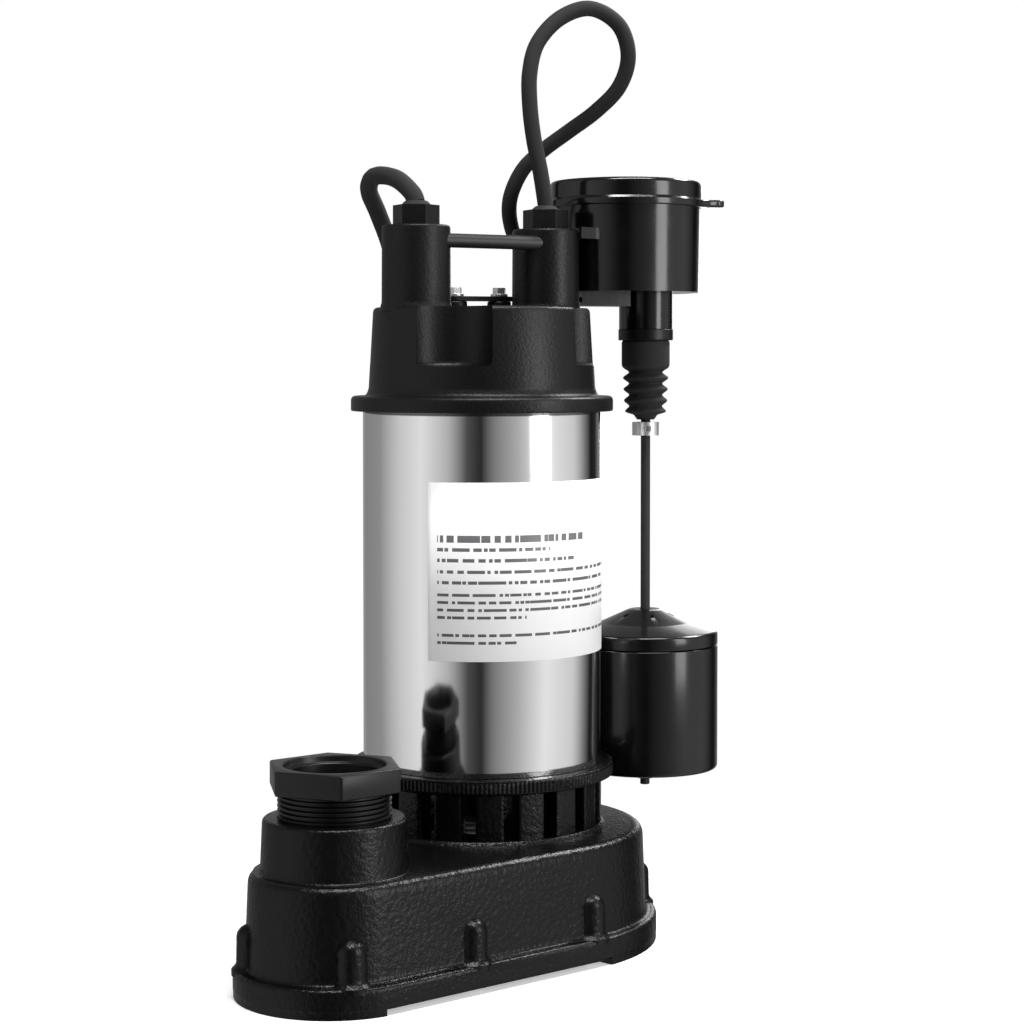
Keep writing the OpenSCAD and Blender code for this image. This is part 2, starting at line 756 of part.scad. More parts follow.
module impeller() {
    vane_arc = impeller_r * 0.62;
    color("#c9a24b") difference() {
        union() {
            translate([0, 0, impeller_z]) cylinder(h = shroud_t, r = impeller_r);
            translate([0, 0, impeller_z]) cylinder(h = hub_top_z - impeller_z, r = hub_r);
            translate([0, 0, vane_z - eps]) linear_extrude(vane_h + 2 * eps) intersection() {
                difference() {
                    circle(impeller_r - 1);
                    circle(hub_r - 1);
                }
                union() for (k = [0:vane_count - 1]) rotate(360 * k / vane_count)
                    intersection() {
                        translate([vane_arc * 0.9, 0]) difference() {
                            circle(vane_arc);
                            circle(vane_arc - vane_t);
                        }
                        translate([-impeller_r, 0]) square([2.4 * impeller_r, impeller_r]);
                    }
            }
            translate([0, 0, front_shroud_z]) ring(impeller_r, eye_r, shroud_t);
            translate([0, 0, front_shroud_z]) ring(eye_neck_r, eye_r, deck_z - 2 - front_shroud_z);
        }
        translate([0, 0, impeller_z - 1]) cylinder(h = hub_top_z, r = impeller_shaft_r);
    }
}

module impeller_nut() {
    color("#c3c5c7") difference() {
        translate([0, 0, impeller_z - nut_h]) cylinder(h = nut_h, r = 6.5 / cos(30), $fn = 6);
        translate([0, 0, impeller_z - nut_h - 1]) cylinder(h = nut_h + 2, r = nut_thread_r);
    }
}

module motor_shaft() {
    color("#c7c9cc") rotate_extrude() polygon([
        [0, thread_z], [nut_thread_r, thread_z], [nut_thread_r, impeller_z], [impeller_shaft_r, impeller_z],
        [impeller_shaft_r, hub_top_z], [seal_shaft_r, hub_top_z], [seal_shaft_r, lower_bearing_z - 1],
        [shaft_r, lower_bearing_z - 1], [shaft_r, lower_bearing_z + bearing_w],
        [rotor_shaft_r, lower_bearing_z + bearing_w], [rotor_shaft_r, upper_bearing_z],
        [shaft_r, upper_bearing_z], [shaft_r, shaft_top_z], [0, shaft_top_z]
    ]);
}

module rotor_core() {
    color("#8d9093") translate([0, 0, core_z]) ring(rotor_r, rotor_shaft_r, core_l);
}

module rotor_end_rings() {
    color("#d0d2d4") for (z = [core_z - end_ring_h, core_z + core_l])
        translate([0, 0, z]) ring(rotor_r - 0.5, rotor_r - 11, end_ring_h);
}

module stator_slots(grow) {
    for (k = [0:slot_count - 1]) rotate(360 * k / slot_count)
        translate([stator_bore_r + 1.6 - grow, -slot_w / 2 - grow])
            square([slot_depth - 1.6 + 2 * grow, slot_w + 2 * grow]);
}

module stator_core() {
    color("#77797c") translate([0, 0, core_z]) difference() {
        linear_extrude(core_l) difference() {
            circle(inner_fit_r);
            circle(stator_bore_r);
            stator_slots(0);
        }
        for (k = [0:3]) rotate(scoop_turn + 90 * k)
            translate([tie_r, 0, -1]) cylinder(h = core_l + 2, r = tie_bolt_r + screw_hole_gap);
    }
}

module stator_windings() {
    color("#b5642a") union() {
        translate([0, 0, core_z - winding_gap - winding_h]) ring(winding_out_r, winding_in_r, winding_h);
        translate([0, 0, core_z + core_l + winding_gap]) ring(winding_out_r, winding_in_r, winding_h);
        translate([0, 0, core_z - winding_gap - 1]) linear_extrude(core_l + 2 * winding_gap + 2)
            stator_slots(-0.3);
    }
}

// A race of a ball bearing, with its groove
module race(outer, inner) {
    rotate_extrude() difference() {
        translate([inner, 0]) square([outer - inner, bearing_w]);
        translate([ball_circle_r, bearing_w / 2]) circle(ball_r + ball_gap, $fn = 48);
    }
}

module bearing_outer_races() {
    color("#cfd1d3") for (z = [lower_bearing_z, upper_bearing_z])
        translate([0, 0, z]) race(bearing_r, bearing_r - race_wall);
}

module bearing_inner_races() {
    color("#cfd1d3") for (z = [lower_bearing_z, upper_bearing_z])
        translate([0, 0, z]) race(shaft_r + race_wall, shaft_r);
}

module bearing_balls() {
    color("#e2e3e4") for (z = [lower_bearing_z, upper_bearing_z], k = [0:ball_count - 1])
        rotate(360 * k / ball_count) translate([ball_circle_r, 0, z + bearing_w / 2])
            sphere(ball_r, $fn = 32);
}

// Each cage is the pair of pressed rings that carry the balls between them
module bearing_cages() {
    color("#c8a35a") for (z = [lower_bearing_z, upper_bearing_z], side = [-1, 1])
        translate([0, 0, z + bearing_w / 2 + side * (ball_r + cage_gap + cage_h / 2) - cage_h / 2])
            ring(ball_circle_r + cage_wall / 2, ball_circle_r - cage_wall / 2, cage_h);
}

module seal_seat() {
    color("#e6e0d2") translate([0, 0, seal_seat_z]) ring(seal_face_r, seal_shaft_r + 1.2, seal_seat_h);
}

module seal_seat_cup() {
    color("#141414") translate([0, 0, seal_seat_z]) difference() {
        cylinder(h = seal_cup_h, r = seal_r);
        translate([0, 0, -1]) cylinder(h = seal_seat_h + 1, r = seal_face_r);
        translate([0, 0, -1]) cylinder(h = seal_cup_h + 2, r = seal_shaft_r + 2);
    }
}

module seal_head() {
    color("#3c3e41") translate([0, 0, seal_head_z]) ring(seal_face_r, seal_shaft_r, seal_head_h);
}

module seal_spring() {
    steps = 14;
    pitch = (seal_head_z - hub_top_z - spring_wire) / spring_turns;
    spring_r = seal_shaft_r + 2.4;
    helix = [
        for (i = [0:steps * spring_turns])
            [spring_r * cos(360 * i / steps), spring_r * sin(360 * i / steps),
             hub_top_z + spring_wire / 2 + pitch * i / steps]
    ];
    color("#b8babd") tube_along(helix, spring_wire / 2 - 0.05, 8);
}

module upper_end_shield() {
    shield_z = upper_bearing_z - 3.5;
    color("#a9abad") difference() {
        union() {
            translate([0, 0, shield_z]) cylinder(h = 6, r = inner_fit_r);
            translate([0, 0, shield_z]) cylinder(h = bearing_w + 8.5, r = bearing_r + 5);
        }
        translate([0, 0, shield_z - 1]) cylinder(h = bearing_w + 1 + 3.5 + 2, r = bearing_r);
        for (k = [0:3]) rotate(scoop_turn + 90 * k)
            translate([tie_r, 0, shield_z - 1]) cylinder(h = 8, r = tie_bolt_r + screw_hole_gap);
        for (k = [0:5]) rotate(60 * k + 30)
            translate([bearing_r + 12, 0, shield_z - 1]) cylinder(h = 8, r = 5);
    }
}

module motor_tube() {
    color("#d5d7d9") translate([0, 0, tube_z]) ring(tube_r, tube_inner_r, tube_h + 2);
}

module tube_rings() {
    color("#101010") for (z = [tube_z + 3.2, cap_z - spigot_h + 1.8])
        translate([0, 0, z + ring_section / 2]) rotate_extrude()
            translate([inner_fit_r - ring_section / 2 + 0.1, 0]) circle(ring_section / 2, $fn = 24);
}

module name_label() {
    color("#f4f4f2") translate([0, 0, tube_z + label_lift]) linear_extrude(label_h)
        sector(label_from, label_to, tube_r + label_t, tube_r);
}

module run_capacitor() {
    color("#b9bcc0") translate([-14, 6, upper_bearing_z + bearing_w + 9]) union() {
        cylinder(h = 42, r = 14);
        for (x = [-5, 5]) translate([x - 0.4, -3, 41]) cube([0.8, 6, 7]);
    }
}

module thermal_protector() {
    color("#2c3136") translate([34, -6, core_z + core_l + winding_gap + winding_h]) cube([7, 12, 4]);
}

module terminal_block() {
    base_z = upper_bearing_z + bearing_w + 9;
    color("#e9e6da") translate([8, -14, base_z]) difference() {
        cube([12, 28, 14]);
        for (y = [5, 14, 23]) translate([6, y, 6]) cylinder(h = 9, r = 2.4);
        for (y = [5, 14, 23]) translate([-1, y, 5]) rotate([0, 90, 0]) cylinder(h = 14, r = 1.6);
    }
}

module top_cap() {
    color("#1c1d1f") difference() {
        union() {
            rotate_extrude() polygon([
                [0, cap_z], [cap_r, cap_z], [cap_r, cap_side_z], [cap_foot_r + 3, cap_side_z],
                [cap_foot_r, cap_side_z + 3], [cap_top_r, cap_top_z], [0, cap_top_z]
            ]);
            translate([0, 0, cap_z - spigot_h]) cylinder(h = spigot_h + 1, r = inner_fit_r);
            for (p = [switch_post, power_post])
                translate([p.x, p.y, cap_top_z - 3]) cylinder(h = post_h + 3, r = post_r);
            for (s = [0, bracket_second]) translate(bracket_start) rotate(bracket_turn)
                translate([s, 0, cap_top_z - 1]) cylinder(h = bracket_z - cap_top_z + 1, r = bracket_boss_r);
        }
        translate([0, 0, cap_z - spigot_h - 1])
            cylinder(h = scoop_z - cap_wall - cap_z + spigot_h + 1, r = cap_cavity_r);
        translate([0, 0, cap_z]) cylinder(h = cap_top_z - cap_z - cap_wall, r = cap_core_r);
        translate([0, 0, cap_z - 1]) ring(tube_r + 0.1, tube_inner_r - 0.1, 1 + 2.2);
        translate([0, 0, cap_z - spigot_h + 1.6])
            ring(tube_r + 2, inner_fit_r - ring_section, ring_section + 0.4);
        for (k = [0:3]) rotate(scoop_turn + 90 * k) {
            translate([scoop_offset, 0, scoop_z]) cylinder(h = cap_h, r = scoop_r);
            translate([tie_r, 0, cap_z - spigot_h - 1])
                cylinder(h = cap_h, r = tie_bolt_r + screw_hole_gap);
            translate([tie_r, 0, tie_head_z]) cylinder(h = tie_head_h + 5, r = tie_head_r + 0.2);
        }
        for (p = [switch_post, power_post]) translate([p.x, p.y, 0]) {
            translate([0, 0, cap_top_z - cap_wall - 4])
                cylinder(h = post_h + 20, r = power_cord_r + cord_hole_gap);
            translate([0, 0, nut_top_z + grommet_proud - grommet_l])
                cylinder(h = grommet_l, r = grommet_r);
            translate([0, 0, post_top_z - cord_nut_grip])
                cylinder(h = cord_nut_grip + 1, r = cord_nut_stem_r);
        }
        rotate(post_turn) translate([-bar_half, -bar_shift, bar_z]) rotate([0, 90, 0])
            cylinder(h = 2 * bar_half, r = bar_r + bar_gap);
        for (s = [0, bracket_second]) translate(bracket_start) rotate(bracket_turn)
            translate([s, 0, cap_top_z - 3]) cylinder(h = 12, r = bracket_screw_r);
    }
}

module tie_bolts() {
    color("#b4b6b8") for (k = [0:3]) rotate(scoop_turn + 90 * k)
        translate([tie_r, 0, tie_head_z + tie_head_h]) mirror([0, 0, 1])
            socket_screw(tie_head_r, tie_head_h, tie_bolt_r, tie_head_z - tie_foot_z, 4);
}

module handle_bar() {
    color("#222325") rotate(post_turn) translate([-bar_half, -bar_shift, bar_z]) rotate([0, 90, 0])
        cylinder(h = 2 * bar_half, r = bar_r);
}

module cord_nut(p) {
    translate([p.x, p.y, 0]) difference() {
        union() {
            translate([0, 0, post_top_z]) rotate(cord_nut_turn)
                cylinder(h = cord_nut_h, r = cord_nut_r, $fn = 6);
            translate([0, 0, post_top_z - cord_nut_grip])
                cylinder(h = cord_nut_grip + 1, r = cord_nut_stem_r);
        }
        translate([0, 0, post_top_z - cord_nut_grip - 1])
            cylinder(h = cord_nut_h + cord_nut_grip + 2, r = grommet_r);
    }
}

module power_cord_nut() color("#161719") cord_nut(power_post);
module switch_cord_nut() color("#161719") cord_nut(switch_post);

// A tapered rubber sleeve round a cord where it leaves its nut
module grommet(p, cord_r) {
    top_z = nut_top_z + grommet_proud;
    translate([p.x, p.y, 0]) rotate_extrude() polygon([
        [0, top_z - grommet_l], [grommet_r, top_z - grommet_l], [grommet_r, nut_top_z],
        [cord_r + 0.9, top_z], [0, top_z]
    ]);
}

module power_cord_grommet() color("#0f0f10") grommet(power_post, power_cord_r);
module switch_cord_grommet() color("#0f0f10") grommet(switch_post, switch_cord_r);

module power_cord() color("#121214") tube_along(power_route, power_cord_r, cord_sides);
module power_cord_tail() color("#121214") tube_along(tail_route, power_cord_r, cord_sides);
module switch_cord() color("#121214") tube_along(switch_route, switch_cord_r, cord_sides);

module coil_section(shrink) {
    translate([coil_in_r + shrink, shrink])
        square([coil_out_r - coil_in_r - 2 * shrink, coil_h - 2 * shrink]);
}

module power_cord_coil() {
    color("#121214") translate([coil_x, coil_y, 0]) difference() {
        rotate_extrude() coil_section(0);
        rotate(tie_turn) translate([coil_in_r - 5, -tie_w / 2 - 0.1, -1])
            cube([coil_out_r - coil_in_r + 10, tie_w + 0.2, 1 + tie_t]);
    }
}

module coil_tie() {
    color("#2b2c2e") translate([coil_x, coil_y, 0]) rotate(tie_turn)
        translate([coil_in_r - tie_t - tie_gap, -tie_w / 2, 0]) difference() {
            cube([coil_out_r - coil_in_r + 2 * tie_t + 2 * tie_gap, tie_w, coil_h + tie_t + 0.2]);
            translate([tie_t, -1, tie_t])
                cube([coil_out_r - coil_in_r + 2 * tie_gap, tie_w + 2, coil_h - tie_t + 0.1]);
        }
}

module at_plug() translate([-65, 123, plug_z]) rotate(plug_turn) children();

module power_plug() {
    color("#151517") at_plug() union() {
        rotate([0, 90, 0]) cylinder(h = plug_relief_l, r1 = power_cord_r + 1, r2 = plug_t / 2 - 4);
        translate([plug_relief_l - eps, -plug_w / 2, -plug_t / 2]) cube([plug_l, plug_w, plug_t]);
    }
}

module plug_blades() {
    face = plug_relief_l + plug_l - eps;
    color("#c9b27a") at_plug() {
        for (y = [-blade_gap / 2, blade_gap / 2])
            translate([face, y - blade_t / 2, -blade_w / 2 + 4]) cube([blade_l, blade_t, blade_w]);
        translate([face, 0, -7.5]) rotate([0, 90, 0]) cylinder(h = ground_l, r = ground_r);
    }
}

module switch_bracket() {
    color("#8f9194") at_bracket() difference() {
        union() {
            cylinder(h = bracket_t, r = bracket_w / 2);
            translate([0, -bracket_w / 2, 0]) cube([bracket_len, bracket_w, bracket_t]);
        }
        for (s = [0, bracket_second])
            translate([s, 0, -1]) cylinder(h = bracket_t + 2, r = bracket_screw_r + 0.15);
    }
}

module bracket_screws() {
    color("#9c9ea1") at_bracket() for (s = [0, bracket_second])
        translate([s, 0, 0]) union() {
            translate([0, 0, bracket_t]) cylinder(h = 1.2, r = bracket_head_r + 0.8);
            translate([0, 0, bracket_t + 1.2]) cylinder(h = 3, r = bracket_head_r, $fn = 6);
            translate([0, 0, -6.5]) cylinder(h = 6.5 + bracket_t + 1, r = bracket_screw_r);
        }
}

// Saddle between the cup and the post beside it
module saddle() {
    gap = 0.3;
    root = 6;
    reach = switch_post - [cup_x, cup_y];
    difference() {
        at_cup() rotate(atan2(reach.y, reach.x)) translate([cup_r - root, -3, cup_top_z - saddle_drop])
            cube([norm(reach) - cup_r - post_r + root + 6.75, saddle_w, saddle_t]);
        translate([switch_post.x, switch_post.y, cup_z]) cylinder(h = cup_h, r = post_r + gap);
    }
}

module switch_housing() {
    floor_top = cup_z + cup_floor;
    color("#0e0f10") difference() {
        union() {
            difference() {
                union() {
                    at_cup() translate([0, 0, cup_z]) cylinder(h = cup_h, r1 = cup_r - 0.7, r2 = cup_r);
                    saddle();
                    at_rod() translate([0, 0, neck_z]) cylinder(h = neck_l + 1, r = neck_r);
                    at_rod() translate([0, 0, band_z - 1.5])
                        cylinder(h = band_h + 3, r = boot_r - boot_wall - 0.3);
                    at_rod() rotate(bracket_turn + 180) translate([neck_r - 3, -arm_w / 2, bracket_z - 2])
                        cube([arm_l, arm_w, cup_z - bracket_z + 2 + 1]);
                    at_cup() rotate(inlet_turn) translate([cup_r - 3, 0, inlet_z]) rotate([0, 90, 0])
                        cylinder(h = inlet_l + 3, r = inlet_r);
                }
                at_cup() translate([0, 0, floor_top]) cylinder(h = cup_h, r = cup_r - cup_wall);
            }
            at_lever() for (side = [lever_w / 2 + lug_gap, -lever_w / 2 - lug_gap - lug_t])
                translate([lever_arm - 2.5, side, floor_top - 1])
                    cube([5, lug_t, lever_pin_z + 2.2 - floor_top + 1]);
            at_lever() translate([snap_start + 1, snap_w / 2 + 0.05, floor_top - 1])
                cube([snap_l - 3, snap_wall_t, snap_z + snap_h - floor_top + 1]);
            at_lever() for (u = [snap_start + 2.8, snap_start + snap_l - 4])
                translate([u, snap_w / 2 + 1, snap_z + 3]) rotate([90, 0, 0])
                    cylinder(h = snap_w, r = snap_pin_r);
        }
        at_rod() translate([0, 0, band_z - 5]) cylinder(h = cup_z - band_z + 20, r = rod_r + rod_gap);
        at_lever() translate([lever_arm, 10, lever_pin_z]) rotate([90, 0, 0])
            cylinder(h = 20, r = lever_pin_r);
        at_cup() rotate(inlet_turn) translate([cup_r - cup_wall - 4, 0, inlet_z]) rotate([0, 90, 0])
            cylinder(h = inlet_l + 12, r = switch_cord_r);
        at_bracket() translate([0, -bracket_w / 2 - 0.05, -0.05])
            cube([bracket_len + 0.1, bracket_w + 0.1, bracket_t + 0.1]);
    }
}

module switch_lid() {
    color("#101112") at_cup() difference() {
        union() {
            translate([0, 0, cup_top_z - lid_skirt])
                cylinder(h = lid_skirt + 1, r = cup_r + lid_gap + lid_lip);
            translate([0, 0, cup_top_z]) cylinder(h = lid_h, r = cup_r);
            rotate(tab_turn) translate([cup_r - 2, -tab_w / 2, cup_top_z - lid_skirt])
                cube([tab_l - tab_w / 2 + 3.5, tab_w, 4]);
            rotate(tab_turn) translate([cup_r + tab_l - tab_w / 2 + 1.5, 0, cup_top_z - lid_skirt])
                cylinder(h = 4, r = tab_w / 2);
        }
        translate([0, 0, cup_top_z - lid_skirt - 1]) cylinder(h = lid_skirt + 1, r = cup_r + lid_gap);
        translate([0, 0, cup_top_z - lid_skirt - 1])
            cylinder(h = lid_h + lid_skirt + 1 - lid_t, r = cup_r - cup_wall);
    }
}

module boot_band() {
    color("#1a1b1d") at_rod() translate([0, 0, band_z]) ring(neck_r + 0.3, boot_r + 0.3, band_h);
}

module bellows_boot() {
    tail_r = rod_r + 0.5 + boot_wall + 0.6;
    outer = concat(
        [[boot_r, neck_z - 0.3], [boot_r, cuff_z]],
        [for (k = [0:boot_folds - 1]) for (q = [
            [boot_valley_r, cuff_z - (k + 0.45) * fold_h], [boot_r - 0.1, cuff_z - (k + 0.95) * fold_h]]) q],
        [[tail_r, cuff_z - boot_folds * fold_h - 2.5], [tail_r, boot_tail_z]]
    );
    inner = [for (k = [len(outer) - 1:-1:0]) [max(outer[k].x - boot_wall, rod_r + 0.5), outer[k].y]];
    color("#19191a") at_rod() rotate_extrude() polygon(concat(outer, inner));
}

module float_rod() {
    color("#1b1b1d") at_rod() rotate_extrude() polygon([
        [0, rod_z], [rod_r, rod_z], [rod_r, rod_top_z - 1.3], [1, rod_top_z], [0, rod_top_z]
    ]);
}

module rod_collar() {
    color("#c9cbcd") at_rod() translate([0, 0, rod_collar_z]) difference() {
        cylinder(h = rod_collar_h, r = rod_collar_r);
        translate([0, 0, -1]) cylinder(h = rod_collar_h + 2, r = rod_r);
        rotate(collar_screw_turn) translate([rod_r - 1, 0, rod_collar_h / 2]) rotate([0, 90, 0])
            cylinder(h = rod_collar_r + 2, r = collar_screw_r);
    }
}

module collar_screw() {
    color("#8b8d90") at_rod() translate([0, 0, rod_collar_z + rod_collar_h / 2])
        rotate(collar_screw_turn) rotate([0, 90, 0]) difference() {
            translate([0, 0, rod_r + 0.05]) cylinder(h = rod_collar_r - rod_r + 0.1, r = collar_screw_r);
            translate([0, 0, rod_collar_r - 1.6]) cylinder(h = 5, r = 1.15, $fn = 6);
        }
}

module float_stop() {
    color("#1b1b1d") at_rod() translate([0, 0, float_z - 0.4 - stop_h]) ring(stop_r, rod_r, stop_h);
}

module float_shell() {
    bore_r = rod_r + float_rod_gap;
    color("#111213") at_rod() translate([0, 0, float_z]) difference() {
        union() {
            difference() {
                cylinder(h = seam_z - float_z, r = float_r);
                translate([0, 0, float_wall]) cylinder(h = float_side_h, r = float_r - float_wall);
            }
            cylinder(h = seam_z - float_z, r = bore_r + float_tube_wall);
        }
        translate([0, 0, -1]) cylinder(h = float_side_h + 2, r = bore_r);
    }
}

module float_cap() {
    bore_r = rod_r + float_rod_gap;
    color("#111213") at_rod() rotate_extrude() polygon([
        [bore_r, seam_z], [bore_r + float_tube_wall, seam_z],
        [bore_r + float_tube_wall, float_top_z - 5], [float_r - float_wall, shoulder_z - float_wall],
        [float_r - float_wall, seam_z], [float_r, seam_z], [float_r, shoulder_z],
        [7, float_top_z], [bore_r, float_top_z]
    ]);
}

module snap_switch() {
    color("#7d1f1c") at_lever() difference() {
        translate([snap_start, -snap_w / 2, snap_z]) cube([snap_l, snap_w, snap_h]);
        translate([button_at, 0, snap_z - 1])
            cylinder(h = button_z - snap_z + button_l + button_travel + button_room + 1,
                     r = button_r + button_gap);
        for (u = [snap_start + 2.8, snap_start + snap_l - 4])
            translate([u, snap_w, snap_z + 3]) rotate([90, 0, 0])
                cylinder(h = 2 * snap_w, r = snap_pin_r + 0.1);
    }
}

module snap_terminals() {
    color("#c9b27a") at_lever() for (u = [4, 14, 24])
        translate([snap_start + u, -3.2, snap_z + snap_h]) cube([0.8, 6.4, 6]);
}

module switch_lever() {
    color("#c7c8ca") at_lever() translate([0, -lever_w / 2, lever_z]) difference() {
        translate([-3, 0, 0]) cube([lever_arm + 5, lever_w, lever_t]);
        translate([lever_arm, -1, lever_t / 2]) rotate([-90, 0, 0])
            cylinder(h = lever_w + 2, r = lever_pin_r + lever_pin_gap);
    }
}

module lever_pin() {
    half = lever_w / 2 + lug_gap + lug_t;
    color("#d9dadb") at_lever() translate([lever_arm, half, lever_pin_z]) rotate([90, 0, 0])
        cylinder(h = 2 * half, r = lever_pin_r);
}

module switch_button() {
    color("#d8c9a8") at_lever() translate([button_at, 0, button_z]) cylinder(h = button_l, r = button_r);
}

pump_casing();
base_plate();
base_gasket();
base_screws();
intake_housing();
intake_screws();
discharge_adapter();
impeller();
impeller_nut();
motor_shaft();
rotor_core();
rotor_end_rings();
stator_core();
stator_windings();
bearing_outer_races();
bearing_inner_races();
bearing_balls();
bearing_cages();
seal_seat();
seal_seat_cup();
seal_head();
seal_spring();
upper_end_shield();
motor_tube();
tube_rings();
name_label();
run_capacitor();
thermal_protector();
terminal_block();
top_cap();
tie_bolts();
handle_bar();
power_cord_nut();
switch_cord_nut();
power_cord_grommet();
switch_cord_grommet();
power_cord();
power_cord_coil();
power_cord_tail();
coil_tie();
power_plug();
plug_blades();
switch_cord();
switch_bracket();
bracket_screws();
switch_housing();
switch_lid();
boot_band();
bellows_boot();
float_rod();
rod_collar();
collar_screw();
float_stop();
float_shell();
float_cap();
snap_switch();
snap_terminals();
switch_lever();
lever_pin();
switch_button();
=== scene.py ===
"""Submersible sump pump with a vertical float switch, dressed for pictures.

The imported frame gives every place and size. Each sub-assembly is a class that builds
what shows of it and gives its frame nodes their finish. Lengths are in metres.
"""

from __future__ import annotations

import json
import logging
import math
from dataclasses import dataclass, field
from enum import Enum
from typing import Callable, Iterable, Sequence

import bmesh  # noqa: E402
import bpy  # noqa: E402
from mathutils import Matrix, Vector  # noqa: E402

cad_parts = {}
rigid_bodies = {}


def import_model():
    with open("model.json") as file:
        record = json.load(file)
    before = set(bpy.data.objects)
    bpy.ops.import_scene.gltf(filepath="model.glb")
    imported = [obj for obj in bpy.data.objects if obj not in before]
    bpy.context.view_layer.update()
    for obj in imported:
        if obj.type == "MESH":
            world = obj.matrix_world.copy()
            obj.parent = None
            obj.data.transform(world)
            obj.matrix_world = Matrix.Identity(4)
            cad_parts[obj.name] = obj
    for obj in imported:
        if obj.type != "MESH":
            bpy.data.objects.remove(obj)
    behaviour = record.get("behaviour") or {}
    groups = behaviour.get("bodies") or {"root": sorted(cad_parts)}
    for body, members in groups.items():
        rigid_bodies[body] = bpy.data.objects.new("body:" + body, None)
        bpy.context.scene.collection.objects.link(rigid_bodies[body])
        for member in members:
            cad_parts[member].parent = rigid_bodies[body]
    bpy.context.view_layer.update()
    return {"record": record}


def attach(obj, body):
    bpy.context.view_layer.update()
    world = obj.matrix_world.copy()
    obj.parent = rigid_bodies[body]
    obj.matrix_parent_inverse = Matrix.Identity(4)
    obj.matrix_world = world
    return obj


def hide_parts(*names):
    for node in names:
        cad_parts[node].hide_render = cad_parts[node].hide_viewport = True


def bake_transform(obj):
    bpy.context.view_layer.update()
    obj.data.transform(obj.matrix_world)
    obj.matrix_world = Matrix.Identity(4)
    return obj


log = logging.getLogger("sump_pump")

MM = 0.001
TURN = 2 * math.pi
SHARP = math.radians(32)
AXIS = Vector((0, 0, 0))
FILM_GAP = 0.00012

Color = tuple[float, float, float]
Point2 = tuple[float, float]


# ---------------------------------------------------------------- shader graphs


class Value:
    """A shader socket that takes part in Python expressions."""

    def __init__(self, graph: "Graph", socket: bpy.types.NodeSocket) -> None:
        """Wraps a socket of a graph."""
        self.graph = graph
        self.socket = socket

    def _math(self, kind: str, *others: "Value | float") -> "Value":
        """One Math node of that kind on this value and others."""
        return self.graph.math(kind, self, *others)

    def __add__(self, other: "Value | float") -> "Value":
        """Sum."""
        return self._math("ADD", other)

    __radd__ = __add__

    def __mul__(self, other: "Value | float") -> "Value":
        """Product."""
        return self._math("MULTIPLY", other)

    __rmul__ = __mul__

    def __sub__(self, other: "Value | float") -> "Value":
        """Difference."""
        return self._math("SUBTRACT", other)

    def __rsub__(self, other: float) -> "Value":
        """Number minus value."""
        return self.graph.math("SUBTRACT", other, self)

    def __gt__(self, other: "Value | float") -> "Value":
        """1 where greater, else 0."""
        return self._math("GREATER_THAN", other)

    def __lt__(self, other: "Value | float") -> "Value":
        """1 where less, else 0."""
        return self._math("LESS_THAN", other)

    def clamped(self) -> "Value":
        """The value held between 0 and 1."""
        return self.graph.math("MINIMUM", self.graph.math("MAXIMUM", self, 0.0), 1.0)


